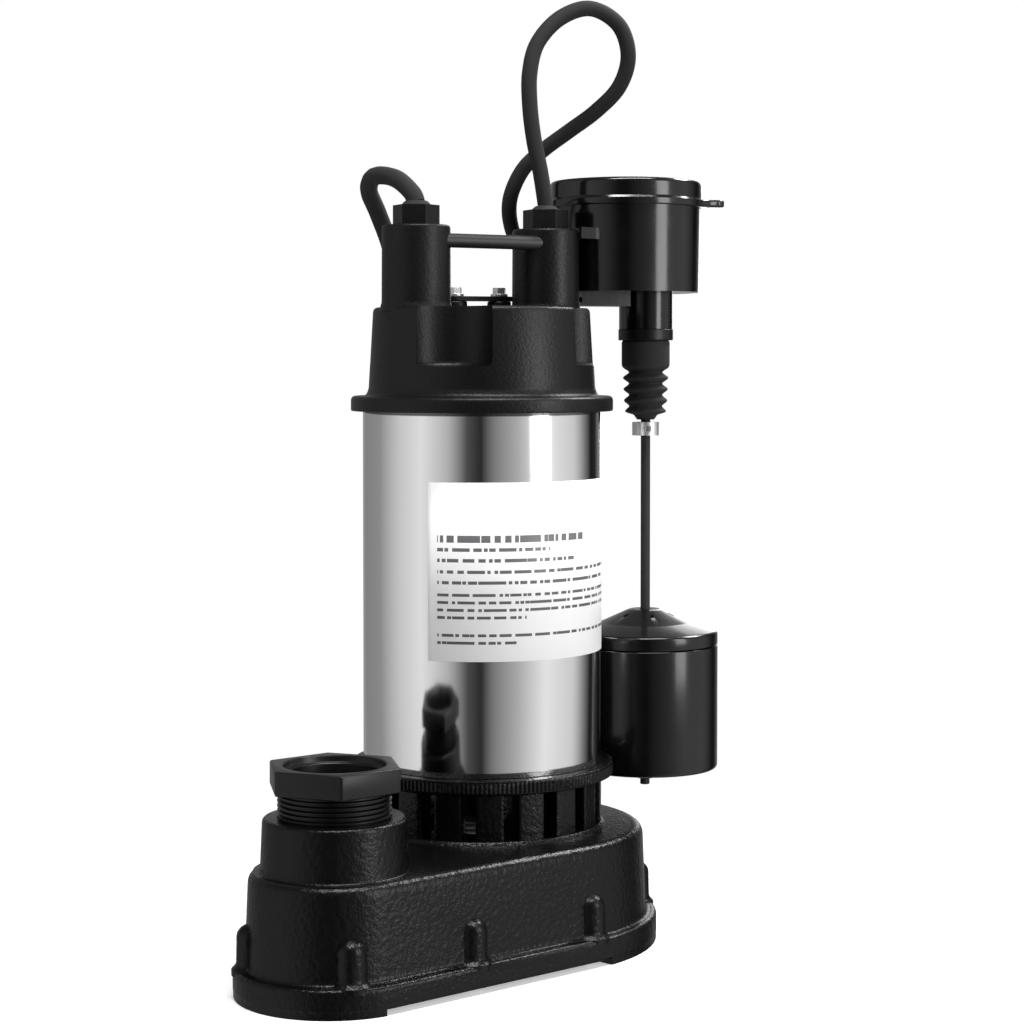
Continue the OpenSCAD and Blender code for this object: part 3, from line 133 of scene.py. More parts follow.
class Graph:
    """A node tree that is built from Python expressions."""

    def __init__(self, tree: bpy.types.NodeTree) -> None:
        """Empties the tree and takes it over."""
        self.tree = tree
        tree.nodes.clear()

    def node(self, kind: str, settings: dict | None = None, inputs: dict | None = None) -> bpy.types.Node:
        """Adds a node.

        Args:
            kind: The node's type.
            settings: Its own settings, set first; "stops" fills a colour ramp.
            inputs: Values or links for its sockets, by name or number.

        Returns:
            The new node.
        """
        made = self.tree.nodes.new(kind)
        for key, value in (settings or {}).items():
            if key == "stops":
                self._fill_ramp(made.color_ramp, value)
            else:
                setattr(made, key, value)
        for key, value in (inputs or {}).items():
            self.feed(made.inputs[key], value)
        return made

    @staticmethod
    def _fill_ramp(ramp: bpy.types.ColorRamp, stops: Sequence[tuple[float, float]]) -> None:
        """Sets a grey ramp from pairs of place and brightness."""
        while len(ramp.elements) < len(stops):
            ramp.elements.new(1.0)
        for element, (place, level) in zip(ramp.elements, stops):
            element.position = place
            element.color = (level, level, level, 1.0)

    def feed(self, socket: bpy.types.NodeSocket, value: object) -> None:
        """Links a Value to a socket, or sets the socket's own value."""
        if isinstance(value, Value):
            self.tree.links.new(value.socket, socket)
        elif isinstance(value, tuple) and len(value) == 3 and socket.type == "RGBA":
            socket.default_value = (*value, 1.0)
        else:
            socket.default_value = value

    def out(
        self, kind: str, name: str | int = 0, settings: dict | None = None, inputs: dict | None = None
    ) -> Value:
        """Adds a node and gives one of its outputs."""
        return Value(self, self.node(kind, settings, inputs).outputs[name])

    def math(self, kind: str, *terms: Value | float) -> Value:
        """Adds a Math node."""
        return self.out("ShaderNodeMath", 0, {"operation": kind}, dict(enumerate(terms)))

    def place(self, name: str = "Object") -> Value:
        """Coordinates: Object or UV on a piece, Generated in the world."""
        return self.out("ShaderNodeTexCoord", name)

    def split(self, vector: Value) -> tuple[Value, Value, Value]:
        """The three parts of a vector."""
        made = self.node("ShaderNodeSeparateXYZ", None, {0: vector})
        return tuple(Value(self, made.outputs[k]) for k in range(3))

    def noise(self, size: float, detail: float = 2.0, stretch: Vector | None = None) -> Value:
        """Noise about 0.5 whose lumps are about size metres across.

        Args:
            size: The width of a lump.
            detail: How much finer noise lies on it.
            stretch: Factors by which the pattern is packed along X, Y and Z.

        Returns:
            The noise as a value.
        """
        where = self.place()
        if stretch is not None:
            where = self.out("ShaderNodeMapping", 0, None, {"Vector": where, "Scale": stretch})
        inputs = {"Vector": where, "Scale": 0.5 / size, "Detail": detail}
        return self.out("ShaderNodeTexNoise", "Fac", None, inputs)

    def blend(self, share: Value | float, low: Color | Value, high: Color | Value) -> Value:
        """A colour between two colours."""
        made = self.node("ShaderNodeMix", {"data_type": "RGBA"})
        for name, value in (("Factor", share), ("A", low), ("B", high)):
            socket = next(s for s in made.inputs if s.name == name and s.enabled)
            self.feed(socket, value)
        return Value(self, next(s for s in made.outputs if s.enabled))

    def bump(self, height: Value, depth: float, under: Value | None = None) -> Value:
        """A normal from a height of 0 to 1 that stands depth metres high, over another normal."""
        inputs: dict = {"Height": height, "Distance": depth, "Strength": 1.0}
        if under is not None:
            inputs["Normal"] = under
        return self.out("ShaderNodeBump", 0, None, inputs)


# ---------------------------------------------------------------- finishes


@dataclass(frozen=True)
class Finish:
    """A finish with a slight unevenness, such as plain metal or plastic."""

    name: str
    color: Color
    roughness: float = 0.4
    metallic: float = 0.0
    coat: float = 0.0
    spread: float = 0.12
    grain: float = 0.0012
    grain_depth: float = 0.00002
    ior: float = 1.5
    coat_roughness: float = 0.12

    def surface(self, graph: Graph) -> dict:
        """Sockets of the shader that vary over the surface."""
        patches = graph.noise(0.018, 3.0)
        fine = graph.noise(self.grain, 2.0)
        dark = tuple(c * 0.82 for c in self.color)
        light = tuple(min(1.0, c * 1.18 + 0.002) for c in self.color)
        rough = patches * (2 * self.spread * self.roughness) + self.roughness * (1 - self.spread)
        return {
            "Base Color": graph.blend(patches, dark, light),
            "Roughness": (rough + (fine - 0.5) * 0.06).clamped(),
            "Normal": graph.bump(fine, self.grain_depth),
        }

    def material(self) -> bpy.types.Material:
        """The finish as a Blender material, made once."""
        known = bpy.data.materials.get(self.name)
        if known is not None:
            return known
        made = bpy.data.materials.new(self.name)
        made.use_nodes = True
        made.diffuse_color = (*self.color, 1.0)
        graph = Graph(made.node_tree)
        inputs = {
            "Metallic": self.metallic, "Coat Weight": self.coat, "IOR": self.ior,
            "Coat Roughness": self.coat_roughness, **self.surface(graph),
        }
        shader = graph.node("ShaderNodeBsdfPrincipled", None, inputs)
        graph.node("ShaderNodeOutputMaterial", None, {"Surface": Value(graph, shader.outputs[0])})
        return made


@dataclass(frozen=True)
class CastEnamel(Finish):
    """Thick enamel over sand-cast iron, with its orange peel and bright grains."""

    peel: float = 0.0011
    peel_depth: float = 0.0004
    speckle: float = 0.0004
    speckle_share: float = 0.16

    def surface(self, graph: Graph) -> dict:
        """Peel, sand grains and a little dulling."""
        lumps = graph.noise(self.peel, 3.0)
        sand = graph.noise(self.speckle, 1.0)
        broad = graph.noise(0.03, 2.0)
        normal = graph.bump(sand, self.peel_depth * self.speckle_share, graph.bump(lumps, self.peel_depth))
        dark = tuple(c * 0.7 for c in self.color)
        return {
            "Base Color": graph.blend(lumps, dark, self.color),
            "Roughness": (broad * 0.22 + sand * 0.16 + (self.roughness - 0.19)).clamped(),
            "Normal": normal,
        }


@dataclass(frozen=True)
class Moulded(Finish):
    """Glossy moulded plastic with a faint waviness."""

    wave: float = 0.012
    wave_depth: float = 0.00006

    def surface(self, graph: Graph) -> dict:
        """Waviness, a fine grain and handling marks."""
        wave = graph.noise(self.wave, 1.0)
        fine = graph.noise(self.grain, 3.0)
        marks = graph.noise(0.004, 4.0)
        normal = graph.bump(fine, self.grain_depth, graph.bump(wave, self.wave_depth))
        light = tuple(c * 1.3 + 0.001 for c in self.color)
        return {
            "Base Color": graph.blend(marks, self.color, light),
            "Roughness": (marks * 0.14 + fine * 0.06 + (self.roughness - 0.1)).clamped(),
            "Normal": normal,
        }


@dataclass(frozen=True)
class PolishedSteel(Finish):
    """Steel tube polished along its length, with hairline draw marks."""

    hairline: float = 0.0004
    hairline_depth: float = 0.000004

    def surface(self, graph: Graph) -> dict:
        """Hairlines that run up the tube and broad soft patches."""
        lines = graph.noise(self.hairline, 2.0, Vector((1.0, 1.0, 0.012)))
        broad = graph.noise(0.02, 2.0, Vector((1.0, 1.0, 0.1)))
        dark = tuple(c * 0.93 for c in self.color)
        return {
            "Base Color": graph.blend(broad, dark, self.color),
            "Roughness": (lines * 0.05 + broad * 0.04 + self.roughness).clamped(),
            "Normal": graph.bump(lines, self.hairline_depth),
        }


@dataclass(frozen=True)
class Brushed(Finish):
    """Turned or brushed metal with fine rings across Z."""

    def surface(self, graph: Graph) -> dict:
        """Fine rings and stains."""
        rings = graph.noise(0.0009, 3.0, Vector((0.05, 0.05, 3.0)))
        stain = graph.noise(0.009, 3.0)
        dark = tuple(c * 0.72 for c in self.color)
        return {
            "Base Color": graph.blend(stain, dark, self.color),
            "Roughness": (rings * 0.16 + stain * 0.12 + (self.roughness - 0.12)).clamped(),
            "Normal": graph.bump(rings, 0.00002),
        }


@dataclass(frozen=True)
class LabelFilm(Finish):
    """White film with rows of plain grey bars in place of print; the film also glows faintly as painted light.
    """

    rows: tuple[tuple[float, float, float], ...] = (
        (0.295, 0.335, 0.62), (0.365, 0.385, 0.44), (0.425, 0.445, 0.56), (0.49, 0.508, 0.86),
        (0.55, 0.568, 0.82), (0.62, 0.636, 0.9), (0.662, 0.678, 0.88), (0.704, 0.72, 0.86),
        (0.746, 0.762, 0.34), (0.845, 0.861, 0.88), (0.887, 0.903, 0.3),
    )
    margin: float = 0.035
    squeeze: float = 0.92
    words_across: float = 11.0
    row_offset: float = 37.0
    gap_level: float = 0.4
    ink: Color = (0.12, 0.12, 0.13)
    # Painted light: the label's own emission, which makes the white film look more brightly lit than its lamps
    # make it.
    glow: float = 0.08

    def surface(self, graph: Graph) -> dict:
        """Bars on the label's own UV map, broken into word-long runs.

        A row gives a bar's upper and lower edge, down from the label's top, and its length.
        """
        across, up, _ = graph.split(graph.place("UV"))
        down = 1.0 - up
        bars: Value | None = None
        for row, (top, foot, length) in enumerate(self.rows):
            words = graph.out(
                "ShaderNodeTexNoise", "Fac", {"noise_dimensions": "1D"},
                {"W": across * self.words_across + row * self.row_offset, "Detail": 0.0},
            )
            end = length * self.squeeze + self.margin
            bar = (down > top) * (down < foot) * (across > self.margin) * (across < end)
            bar = bar * (words > self.gap_level)
            bars = bar if bars is None else bars + bar
        printed = bars.clamped()
        paper = graph.noise(0.0012, 2.0)
        return {
            "Base Color": graph.blend(printed, self.color, self.ink),
            "Roughness": paper * 0.08 + self.roughness,
            # Painted light: the paper glows white and the bars barely, brightening the label without a lamp.
            "Emission Color": graph.blend(printed, (1.0, 1.0, 1.0), (0.06, 0.06, 0.06)),
            "Emission Strength": self.glow,
            "Normal": graph.bump(paper, 0.000006),
        }


class Shade(Enum):
    """Colours that several finishes share."""

    INK = (0.0015, 0.0015, 0.0018)
    PITCH = (0.003, 0.003, 0.0034)
    SOOT = (0.006, 0.006, 0.0066)
    RUBBER = (0.014, 0.014, 0.015)
    ZINC = (0.55, 0.56, 0.58)
    BRASS = (0.72, 0.52, 0.24)


FINISHES: dict[str, Finish] = {
    "casing_paint": CastEnamel("black_cast_enamel", (0.0025, 0.0025, 0.0028), 0.28, ior=1.3),
    "cap_paint": CastEnamel(
        "satin_cast_enamel", (0.004, 0.004, 0.0045), 0.4, ior=1.32, peel=0.0008, peel_depth=0.00016
    ),
    "tube_steel": PolishedSteel("polished_tube_steel", (0.86, 0.86, 0.87), 0.05, 1.0),
    "label_film": LabelFilm("white_label_film", (0.86, 0.86, 0.86), 0.34),
    "adapter_plastic": Moulded("satin_black_plastic", Shade.PITCH.value, 0.34, ior=1.38, grain=0.0007),
    "nut_plastic": Moulded("matt_black_plastic", Shade.PITCH.value, 0.38, ior=1.38, grain=0.0006),
    "switch_plastic": Moulded(
        "gloss_black_plastic", Shade.INK.value, 0.18, coat=0.35, ior=1.38, wave_depth=0.00003
    ),
    "float_plastic": Moulded(
        "gloss_float_plastic", Shade.INK.value, 0.22, coat=0.3, ior=1.38, wave_depth=0.00003
    ),
    "rod_plastic": Moulded("rod_plastic", Shade.SOOT.value, 0.32),
    "boot_rubber": Moulded("boot_rubber", Shade.PITCH.value, 0.32, ior=1.4, wave=0.004),
    "cord_rubber": Moulded("cord_rubber", Shade.PITCH.value, 0.28, ior=1.4, wave=0.004, grain=0.0005),
    "seal_rubber": Finish("seal_rubber", Shade.RUBBER.value, 0.6),
    "gasket_fibre": Finish("gasket_fibre", (0.09, 0.085, 0.075), 0.85, grain_depth=0.00006),
    "screw_steel": Brushed("screw_steel", Shade.ZINC.value, 0.32, 1.0),
    "collar_steel": Brushed("collar_steel", (0.66, 0.66, 0.67), 0.24, 1.0),
    "bracket_steel": Moulded("bracket_enamel", Shade.SOOT.value, 0.3, ior=1.4),
    "bar_paint": Moulded("bar_paint", Shade.PITCH.value, 0.34, ior=1.36),
    "shaft_steel": Brushed("shaft_steel", (0.62, 0.62, 0.64), 0.22, 1.0),
    "lamination_steel": Brushed("lamination_steel", (0.3, 0.3, 0.32), 0.42, 1.0),
    "winding_copper": Brushed("winding_copper", (0.62, 0.24, 0.1), 0.38, 1.0),
    "bearing_steel": Brushed("bearing_steel", (0.68, 0.68, 0.7), 0.14, 1.0),
    "cage_brass": Brushed("cage_brass", Shade.BRASS.value, 0.3, 1.0),
    "end_aluminium": Finish("cast_aluminium", (0.56, 0.57, 0.58), 0.5, 1.0, grain_depth=0.00008),
    "impeller_plastic": Moulded("impeller_plastic", (0.42, 0.27, 0.09), 0.42),
    "seal_ceramic": Finish("seal_ceramic", (0.78, 0.74, 0.66), 0.28),
    "seal_carbon": Finish("seal_carbon", (0.03, 0.03, 0.032), 0.4),
    "capacitor_can": Brushed("capacitor_can", (0.5, 0.5, 0.52), 0.36, 1.0),
    "terminal_plastic": Moulded("terminal_plastic", (0.7, 0.67, 0.58), 0.4),
    "protector_plastic": Moulded("protector_plastic", (0.03, 0.035, 0.04), 0.4),
    "snap_plastic": Moulded("snap_plastic", (0.2, 0.014, 0.012), 0.36),
    "contact_brass": Brushed("contact_brass", Shade.BRASS.value, 0.26, 1.0),
    "lever_steel": Brushed("lever_steel", (0.6, 0.6, 0.62), 0.3, 1.0),
    "button_plastic": Moulded("button_plastic", (0.62, 0.52, 0.34), 0.36),
    "plug_plastic": Moulded("plug_plastic", Shade.SOOT.value, 0.4, grain=0.0008),
    "tie_plastic": Moulded("tie_plastic", (0.018, 0.018, 0.02), 0.5, grain=0.0008),
}


# ---------------------------------------------------------------- shaping


def rounded(corners: Sequence[tuple[float, float, float]], steps: int = 5) -> list[Point2]:
    """Rounds the corners of an open profile.

    Args:
        corners: Radius, height and corner radius of each corner, in order.
        steps: Segments in each rounding.

    Returns:
        The profile's points.
    """
    points: list[Point2] = []
    for k, (x, z, r) in enumerate(corners):
        here = Vector((x, z))
        if r <= 0 or k in (0, len(corners) - 1):
            points.append((x, z))
            continue
        back = Vector(corners[k - 1][:2]) - here
        ahead = Vector(corners[k + 1][:2]) - here
        half = back.angle(ahead) / 2
        reach = min(r / math.tan(half), back.length * 0.49, ahead.length * 0.49)
        start, end = here + back.normalized() * reach, here + ahead.normalized() * reach
        for s in range(steps + 1):
            t = s / steps
            p = start * (1 - t) ** 2 + here * 2 * t * (1 - t) + end * t * t
            points.append((p.x, p.y))
    return points


def polar(r: float, angle: float, centre: Point2 = (0.0, 0.0)) -> Point2:
    """The point at a radius and an angle in radians from a centre."""
    return centre[0] + r * math.cos(angle), centre[1] + r * math.sin(angle)


class Blank:
    """A piece that is being shaped with mesh operators."""

    def __init__(self) -> None:
        """Starts empty."""
        self.bm = bmesh.new()

    def turn(self, profile: Sequence[Point2], centre: Vector = AXIS, steps: int = 96) -> "Blank":
        """Spins a profile of radii and heights round a vertical axis.

        Args:
            profile: Radius and height of each point; a closed ring repeats its first point.
            centre: A point on the axis.
            steps: Segments round the axis.

        Returns:
            This blank.
        """
        closed = profile[0] == profile[-1]
        body = profile[:-1] if closed else profile
        verts = [self.bm.verts.new((centre.x + r, centre.y, z)) for r, z in body]
        pairs = list(zip(verts, verts[1:])) + ([(verts[-1], verts[0])] if closed else [])
        edges = [self.bm.edges.new(p) for p in pairs]
        bmesh.ops.spin(
            self.bm, geom=verts + edges, cent=centre, axis=(0, 0, 1), dvec=(0, 0, 0), angle=TURN,
            steps=steps, use_merge=True, use_duplicate=False,
        )
        return self.merged()

    def slab(self, outline: Sequence[Point2], low: float, high: float) -> "Blank":
        """Extrudes a flat outline from one height to another."""
        verts = [self.bm.verts.new((x, y, low)) for x, y in outline]
        face = self.bm.faces.new(verts)
        made = bmesh.ops.extrude_face_region(self.bm, geom=[face])
        top = [g for g in made["geom"] if isinstance(g, bmesh.types.BMVert)]
        bmesh.ops.translate(self.bm, verts=top, vec=(0, 0, high - low))
        return self.merged()

    def sector(self, centre: Vector, radii: Point2, angles: Point2, heights: Point2, steps: int) -> "Blank":
        """Makes a sector of a ring.

        Args:
            centre: A point on the ring's axis.
            radii: Inner and outer radius.
            angles: First and last direction, in radians.
            heights: Foot and top.
            steps: Segments along the arc.

        Returns:
            This blank.
        """
        way = Vector((*polar(1.0, angles[0]), 0))
        foot = Vector((centre.x, centre.y, heights[0]))
        verts = [self.bm.verts.new(foot + way * r) for r in radii]
        edge = self.bm.edges.new(verts)
        known = set(self.bm.faces)
        bmesh.ops.spin(
            self.bm, geom=verts + [edge], cent=foot, axis=(0, 0, 1), dvec=(0, 0, 0),
            angle=angles[1] - angles[0], steps=steps, use_merge=False, use_duplicate=False,
        )
        strip = [f for f in self.bm.faces if f not in known]
        raised = bmesh.ops.extrude_face_region(self.bm, geom=strip)
        top = [g for g in raised["geom"] if isinstance(g, bmesh.types.BMVert)]
        bmesh.ops.translate(self.bm, verts=top, vec=(0, 0, heights[1] - heights[0]))
        return self.merged()

    def block(self, low: Vector, high: Vector, at: Matrix | None = None) -> "Blank":
        """Adds a box between two corners, then places it."""
        size = high - low
        place = (at or Matrix.Identity(4)) @ Matrix.Translation((low + high) / 2)
        bmesh.ops.create_cube(self.bm, size=1.0, matrix=place @ Matrix.Diagonal((*size, 1)))
        return self

    def merged(self) -> "Blank":
        """Closes seams and turns all faces outwards."""
        bmesh.ops.remove_doubles(self.bm, verts=self.bm.verts, dist=1e-6)
        bmesh.ops.recalc_face_normals(self.bm, faces=self.bm.faces)
        return self

    def soften(
        self, width: float, segments: int = 3, where: Callable[[bmesh.types.BMEdge], bool] | None = None
    ) -> "Blank":
        """Bevels the sharp edges.

        Args:
            width: How far each bevel reaches.
            segments: Its segments.
            where: A test that an edge must pass as well.

        Returns:
            This blank.
        """
        edges = [
            e for e in self.bm.edges
            if len(e.link_faces) == 2 and e.calc_face_angle(0) > SHARP and (where is None or where(e))
        ]
        bmesh.ops.bevel(
            self.bm, geom=edges, offset=width, offset_type="OFFSET", affect="EDGES", segments=segments,
            profile=0.5, material=-1, clamp_overlap=True,
        )
        return self

    def scratch(self, name: str) -> bpy.types.Object:
        """The blank as a plain object."""
        mesh = bpy.data.meshes.new(name)
        self.bm.to_mesh(mesh)
        made = bpy.data.objects.new(name, mesh)
        bpy.context.scene.collection.objects.link(made)
        return made

    def joined(self, tools: Iterable["Blank"], operation: str) -> "Blank":
        """Unites this blank with others, or cuts them away.

        Args:
            tools: The other blanks, each closed.
            operation: UNION or DIFFERENCE.

        Returns:
            This blank.
        """
        base = self.scratch("blank")
        others = [t.scratch("tool") for t in tools]
        for other in others:
            step = base.modifiers.new("cut", "BOOLEAN")
            step.operation, step.object, step.solver = operation, other, "EXACT"
        bpy.context.view_layer.update()
        graph = bpy.context.evaluated_depsgraph_get()
        result = bpy.data.meshes.new_from_object(base.evaluated_get(graph))
        self.bm.clear()
        self.bm.from_mesh(result)
        for made in [base, *others]:
            mesh = made.data
            bpy.data.objects.remove(made)
            bpy.data.meshes.remove(mesh)
        bpy.data.meshes.remove(result)
        bmesh.ops.remove_doubles(self.bm, verts=self.bm.verts, dist=2e-6)
        return self

    def piece(self, name: str, slot: str, body: str, *nodes: str, sharp: float = SHARP) -> bpy.types.Object:
        """Finishes the blank as a piece of the object.

        Args:
            name: The piece's name.
            slot: The record's material slot, which names its finish.
            body: The frame's body that it rides on.
            nodes: The frame's nodes that it stands for.
            sharp: The angle above which an edge stays sharp.

        Returns:
            The piece.
        """
        for face in self.bm.faces:
            face.smooth = True
        for edge in self.bm.edges:
            edge.smooth = not (len(edge.link_faces) == 2 and edge.calc_face_angle(0) > sharp)
        made = self.scratch(name)
        self.bm.free()
        return enlist(made, slot, body, *nodes)


def enlist(made: bpy.types.Object, slot: str, body: str, *nodes: str) -> bpy.types.Object:
    """Dresses an object and makes it ride on a body in place of nodes.

    Args:
        made: The object.
        slot: The record's material slot.
        body: The body that it rides on.
        nodes: The nodes that it stands for.

    Returns:
        The object.
    """
    made.data.materials.clear()
    made.data.materials.append(FINISHES[slot].material())
    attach(made, body)
    if nodes:
        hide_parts(*nodes)
    log.info("%s: %d vertices", made.name, len(made.data.vertices) if made.type == "MESH" else 0)
    return made


def eased(node: str, name: str, slot: str, body: str, width: float, segments: int = 2) -> bpy.types.Object:
    """A copy of a frame node with its edges eased, in place of the node.

    Args:
        node: The node.
        name: The copy's name.
        slot: The record's material slot.
        body: The body that it rides on.
        width: How far each edge is eased.
        segments: Segments in each eased edge.

    Returns:
        The piece.
    """
    blank = Blank()
    blank.bm.from_mesh(bpy.data.objects[node].data)
    bmesh.ops.remove_doubles(blank.bm, verts=blank.bm.verts, dist=1e-6)
    bmesh.ops.dissolve_limit(
        blank.bm, angle_limit=math.radians(1), verts=blank.bm.verts, edges=blank.bm.edges,
        use_dissolve_boundaries=False,
    )
    made = blank.piece(name, slot, body, node)
    ease = made.modifiers.new("eased_edges", "BEVEL")
    ease.width, ease.segments, ease.limit_method = width, segments, "ANGLE"
    ease.angle_limit, ease.use_clamp_overlap, ease.harden_normals = SHARP, True, True
    return made


# ---------------------------------------------------------------- sub-assemblies


@dataclass
class Studio:
    """The camera, the soft light and the pale floor.

    A band is a direction in degrees, counted from where the camera stands, and its brightness.
    A lamp is its name, direction, distance, height, width, depth and power.
    """

    eye: Vector = field(default_factory=lambda: Vector((0.563, -0.910, 0.266)))
    heading: Point2 = (-0.515, 0.857)
    pitch: float = math.radians(1.9)
    lens: float = 81.4
    lift: float = -0.0715
    bands: tuple[tuple[float, float], ...] = (
        (-180, 0.42), (-150, 0.24), (-115, 0.3), (-85, 0.66), (-60, 0.86), (-32, 0.5), (-14, 0.08),
        (0, 0.02), (12, 0.22), (35, 0.46), (65, 0.9), (100, 0.68), (118, 0.2), (129, 0.01), (141, 0.02),
        (156, 0.26), (180, 0.42),
    )
    ceiling: float = 0.2
    ceiling_from: float = 0.35
    ceiling_rise: float = 2.2
    lamps: tuple[tuple[str, float, float, float, float, float, float], ...] = (
        ("overhead", 20.0, 0.45, 1.6, 1.1, 0.26, 26.0),
        ("key_box", 58.0, 1.3, 0.45, 0.42, 0.9, 7.5),
        ("edge_box", 128.0, 1.0, 1.15, 0.6, 0.3, 14.0),
        ("rim_box", 165.0, 1.2, 0.5, 0.25, 0.8, 1.6),
    )
    lamp_aim: float = 0.2
    floor_half: float = 1.2
    floor_grey: float = 0.8
    floor_glow: float = 0.42
    fade_from: float = 0.15
    fade_rate: float = 5.0

    def build(self) -> None:
        """Sets up everything round the object."""
        level = math.cos(self.pitch)
        way = Vector((self.heading[0] * level, self.heading[1] * level, -math.sin(self.pitch)))
        back = Vector((-way.x, -way.y, 0)).normalized()
        self._camera(way)
        self._world(back)
        self._lamps(back)
        self._floor()
        bpy.context.scene.view_settings.view_transform = "Standard"

    def _camera(self, way: Vector) -> None:
        """Places the camera."""
        data = bpy.data.cameras.new("camera")
        data.lens, data.sensor_width, data.shift_y = self.lens, 36.0, self.lift
        camera = bpy.data.objects.new("camera", data)
        camera.location = self.eye
        camera.rotation_euler = way.to_track_quat("-Z", "Y").to_euler()
        bpy.context.scene.collection.objects.link(camera)
        bpy.context.scene.camera = camera

    def _world(self, back: Vector) -> None:
        """Surrounds the object with tall soft bands under a bright ceiling."""
        world = bpy.data.worlds.new("studio")
        bpy.context.scene.world = world
        world.use_nodes = True
        graph = Graph(world.node_tree)
        x, y, z = graph.split(graph.place("Generated"))
        ahead = x * back.x + y * back.y
        right = x * (-back.y) + y * back.x
        turn = graph.math("ARCTAN2", right, ahead) * (1 / TURN) + 0.5
        stops = tuple((a / 360 + 0.5, level) for a, level in self.bands)
        ring = graph.out("ShaderNodeValToRGB", "Color", {"stops": stops}, {"Fac": turn})
        high = ((z - self.ceiling_from) * self.ceiling_rise).clamped()
        glow = graph.blend(high, ring, (self.ceiling,) * 3)
        seen = graph.out("ShaderNodeLightPath", "Is Camera Ray")
        shown = graph.blend(seen, glow, (1.0, 1.0, 1.0))
        light = graph.node("ShaderNodeBackground", None, {"Color": shown, "Strength": 1.0})
        graph.node("ShaderNodeOutputWorld", None, {"Surface": Value(graph, light.outputs[0])})

    def _lamps(self, back: Vector) -> None:
        """Adds the soft boxes above and beside."""
        side = Vector((-back.y, back.x, 0))
        for name, turn, away, height, width, deep, power in self.lamps:
            data = bpy.data.lights.new(name, "AREA")
            data.shape, data.size, data.size_y, data.energy = "RECTANGLE", width, deep, power
            lamp = bpy.data.objects.new(name, data)
            a = math.radians(turn)
            lamp.location = (back * math.cos(a) + side * math.sin(a)) * away + Vector((0, 0, height))
            aim = Vector((0, 0, self.lamp_aim)) - lamp.location
            lamp.rotation_euler = aim.to_track_quat("-Z", "Y").to_euler()
            bpy.context.scene.collection.objects.link(lamp)

    def _floor(self) -> None:
        """Lays the pale floor, which fades out into the white round it."""
        blank = Blank()
        bmesh.ops.create_grid(blank.bm, x_segments=1, y_segments=1, size=self.floor_half)
        floor = blank.scratch("floor")
        made = bpy.data.materials.new("pale_floor")
        made.use_nodes = True
        graph = Graph(made.node_tree)
        x, y, _ = graph.split(graph.place())
        away = graph.math("SQRT", x * x + y * y)
        share = ((away - self.fade_from) * self.fade_rate).clamped()
        solid = graph.node("ShaderNodeBsdfPrincipled", None, {
            "Base Color": (self.floor_grey,) * 3, "Roughness": 0.7, "Emission Color": (1.0, 1.0, 1.0),
            "Emission Strength": self.floor_glow, "Specular IOR Level": 0.1,
        })
        clear = graph.node("ShaderNodeBsdfTransparent")
        mixed = graph.node("ShaderNodeMixShader", None, {
            0: share, 1: Value(graph, solid.outputs[0]), 2: Value(graph, clear.outputs[0])
        })
        graph.node("ShaderNodeOutputMaterial", None, {"Surface": Value(graph, mixed.outputs[0])})
        floor.data.materials.append(made)
        floor.visible_glossy = False


def eased_line(points: Sequence[Vector], steps: int = 6) -> list[Vector]:
    """A smooth line through points.

    Args:
        points: The points, in order.
        steps: Steps between two of them.

    Returns:
        The line's points, ends included.
    """
    line: list[Vector] = []
    for k in range(len(points) - 1):
        a, b = points[max(k - 1, 0)], points[k]
        c, d = points[k + 1], points[min(k + 2, len(points) - 1)]
        for s in range(steps):
            t = s / steps
            square, cube = 2 * a - 5 * b + 4 * c - d, 3 * b - a - 3 * c + d
            line.append(0.5 * ((2 * b) + (c - a) * t + square * t * t + cube * t ** 3))
    return line + [points[-1]]


def strand(name: str, points: Sequence[Vector], r: float) -> bpy.types.Object:
    """A round cord along a line of points."""
    data = bpy.data.curves.new(name, "CURVE")
    data.dimensions, data.bevel_depth, data.bevel_resolution, data.use_fill_caps = "3D", r, 5, True
    spline = data.splines.new("POLY")
    spline.points.add(len(points) - 1)
    for made, p in zip(spline.points, points):
        made.co = (*p, 1.0)
    spline.use_smooth = True
    made = bpy.data.objects.new(name, data)
    bpy.context.scene.collection.objects.link(made)
    return made


def length_of(points: Sequence[Vector]) -> float:
    """The length of a line of points."""
    return sum((b - a).length for a, b in zip(points, points[1:]))


def millimetres(*points: tuple[float, float, float]) -> list[Vector]:
    """Points given in millimetres as vectors in metres."""
    return [Vector(p) * MM for p in points]


def step(t: float, start: float, end: float) -> float:
    """How far t has come from start to end, smoothly from 0 to 1."""
    u = min(1.0, max(0.0, (t - start) / (end - start)))
    return u * u * (3 - 2 * u)


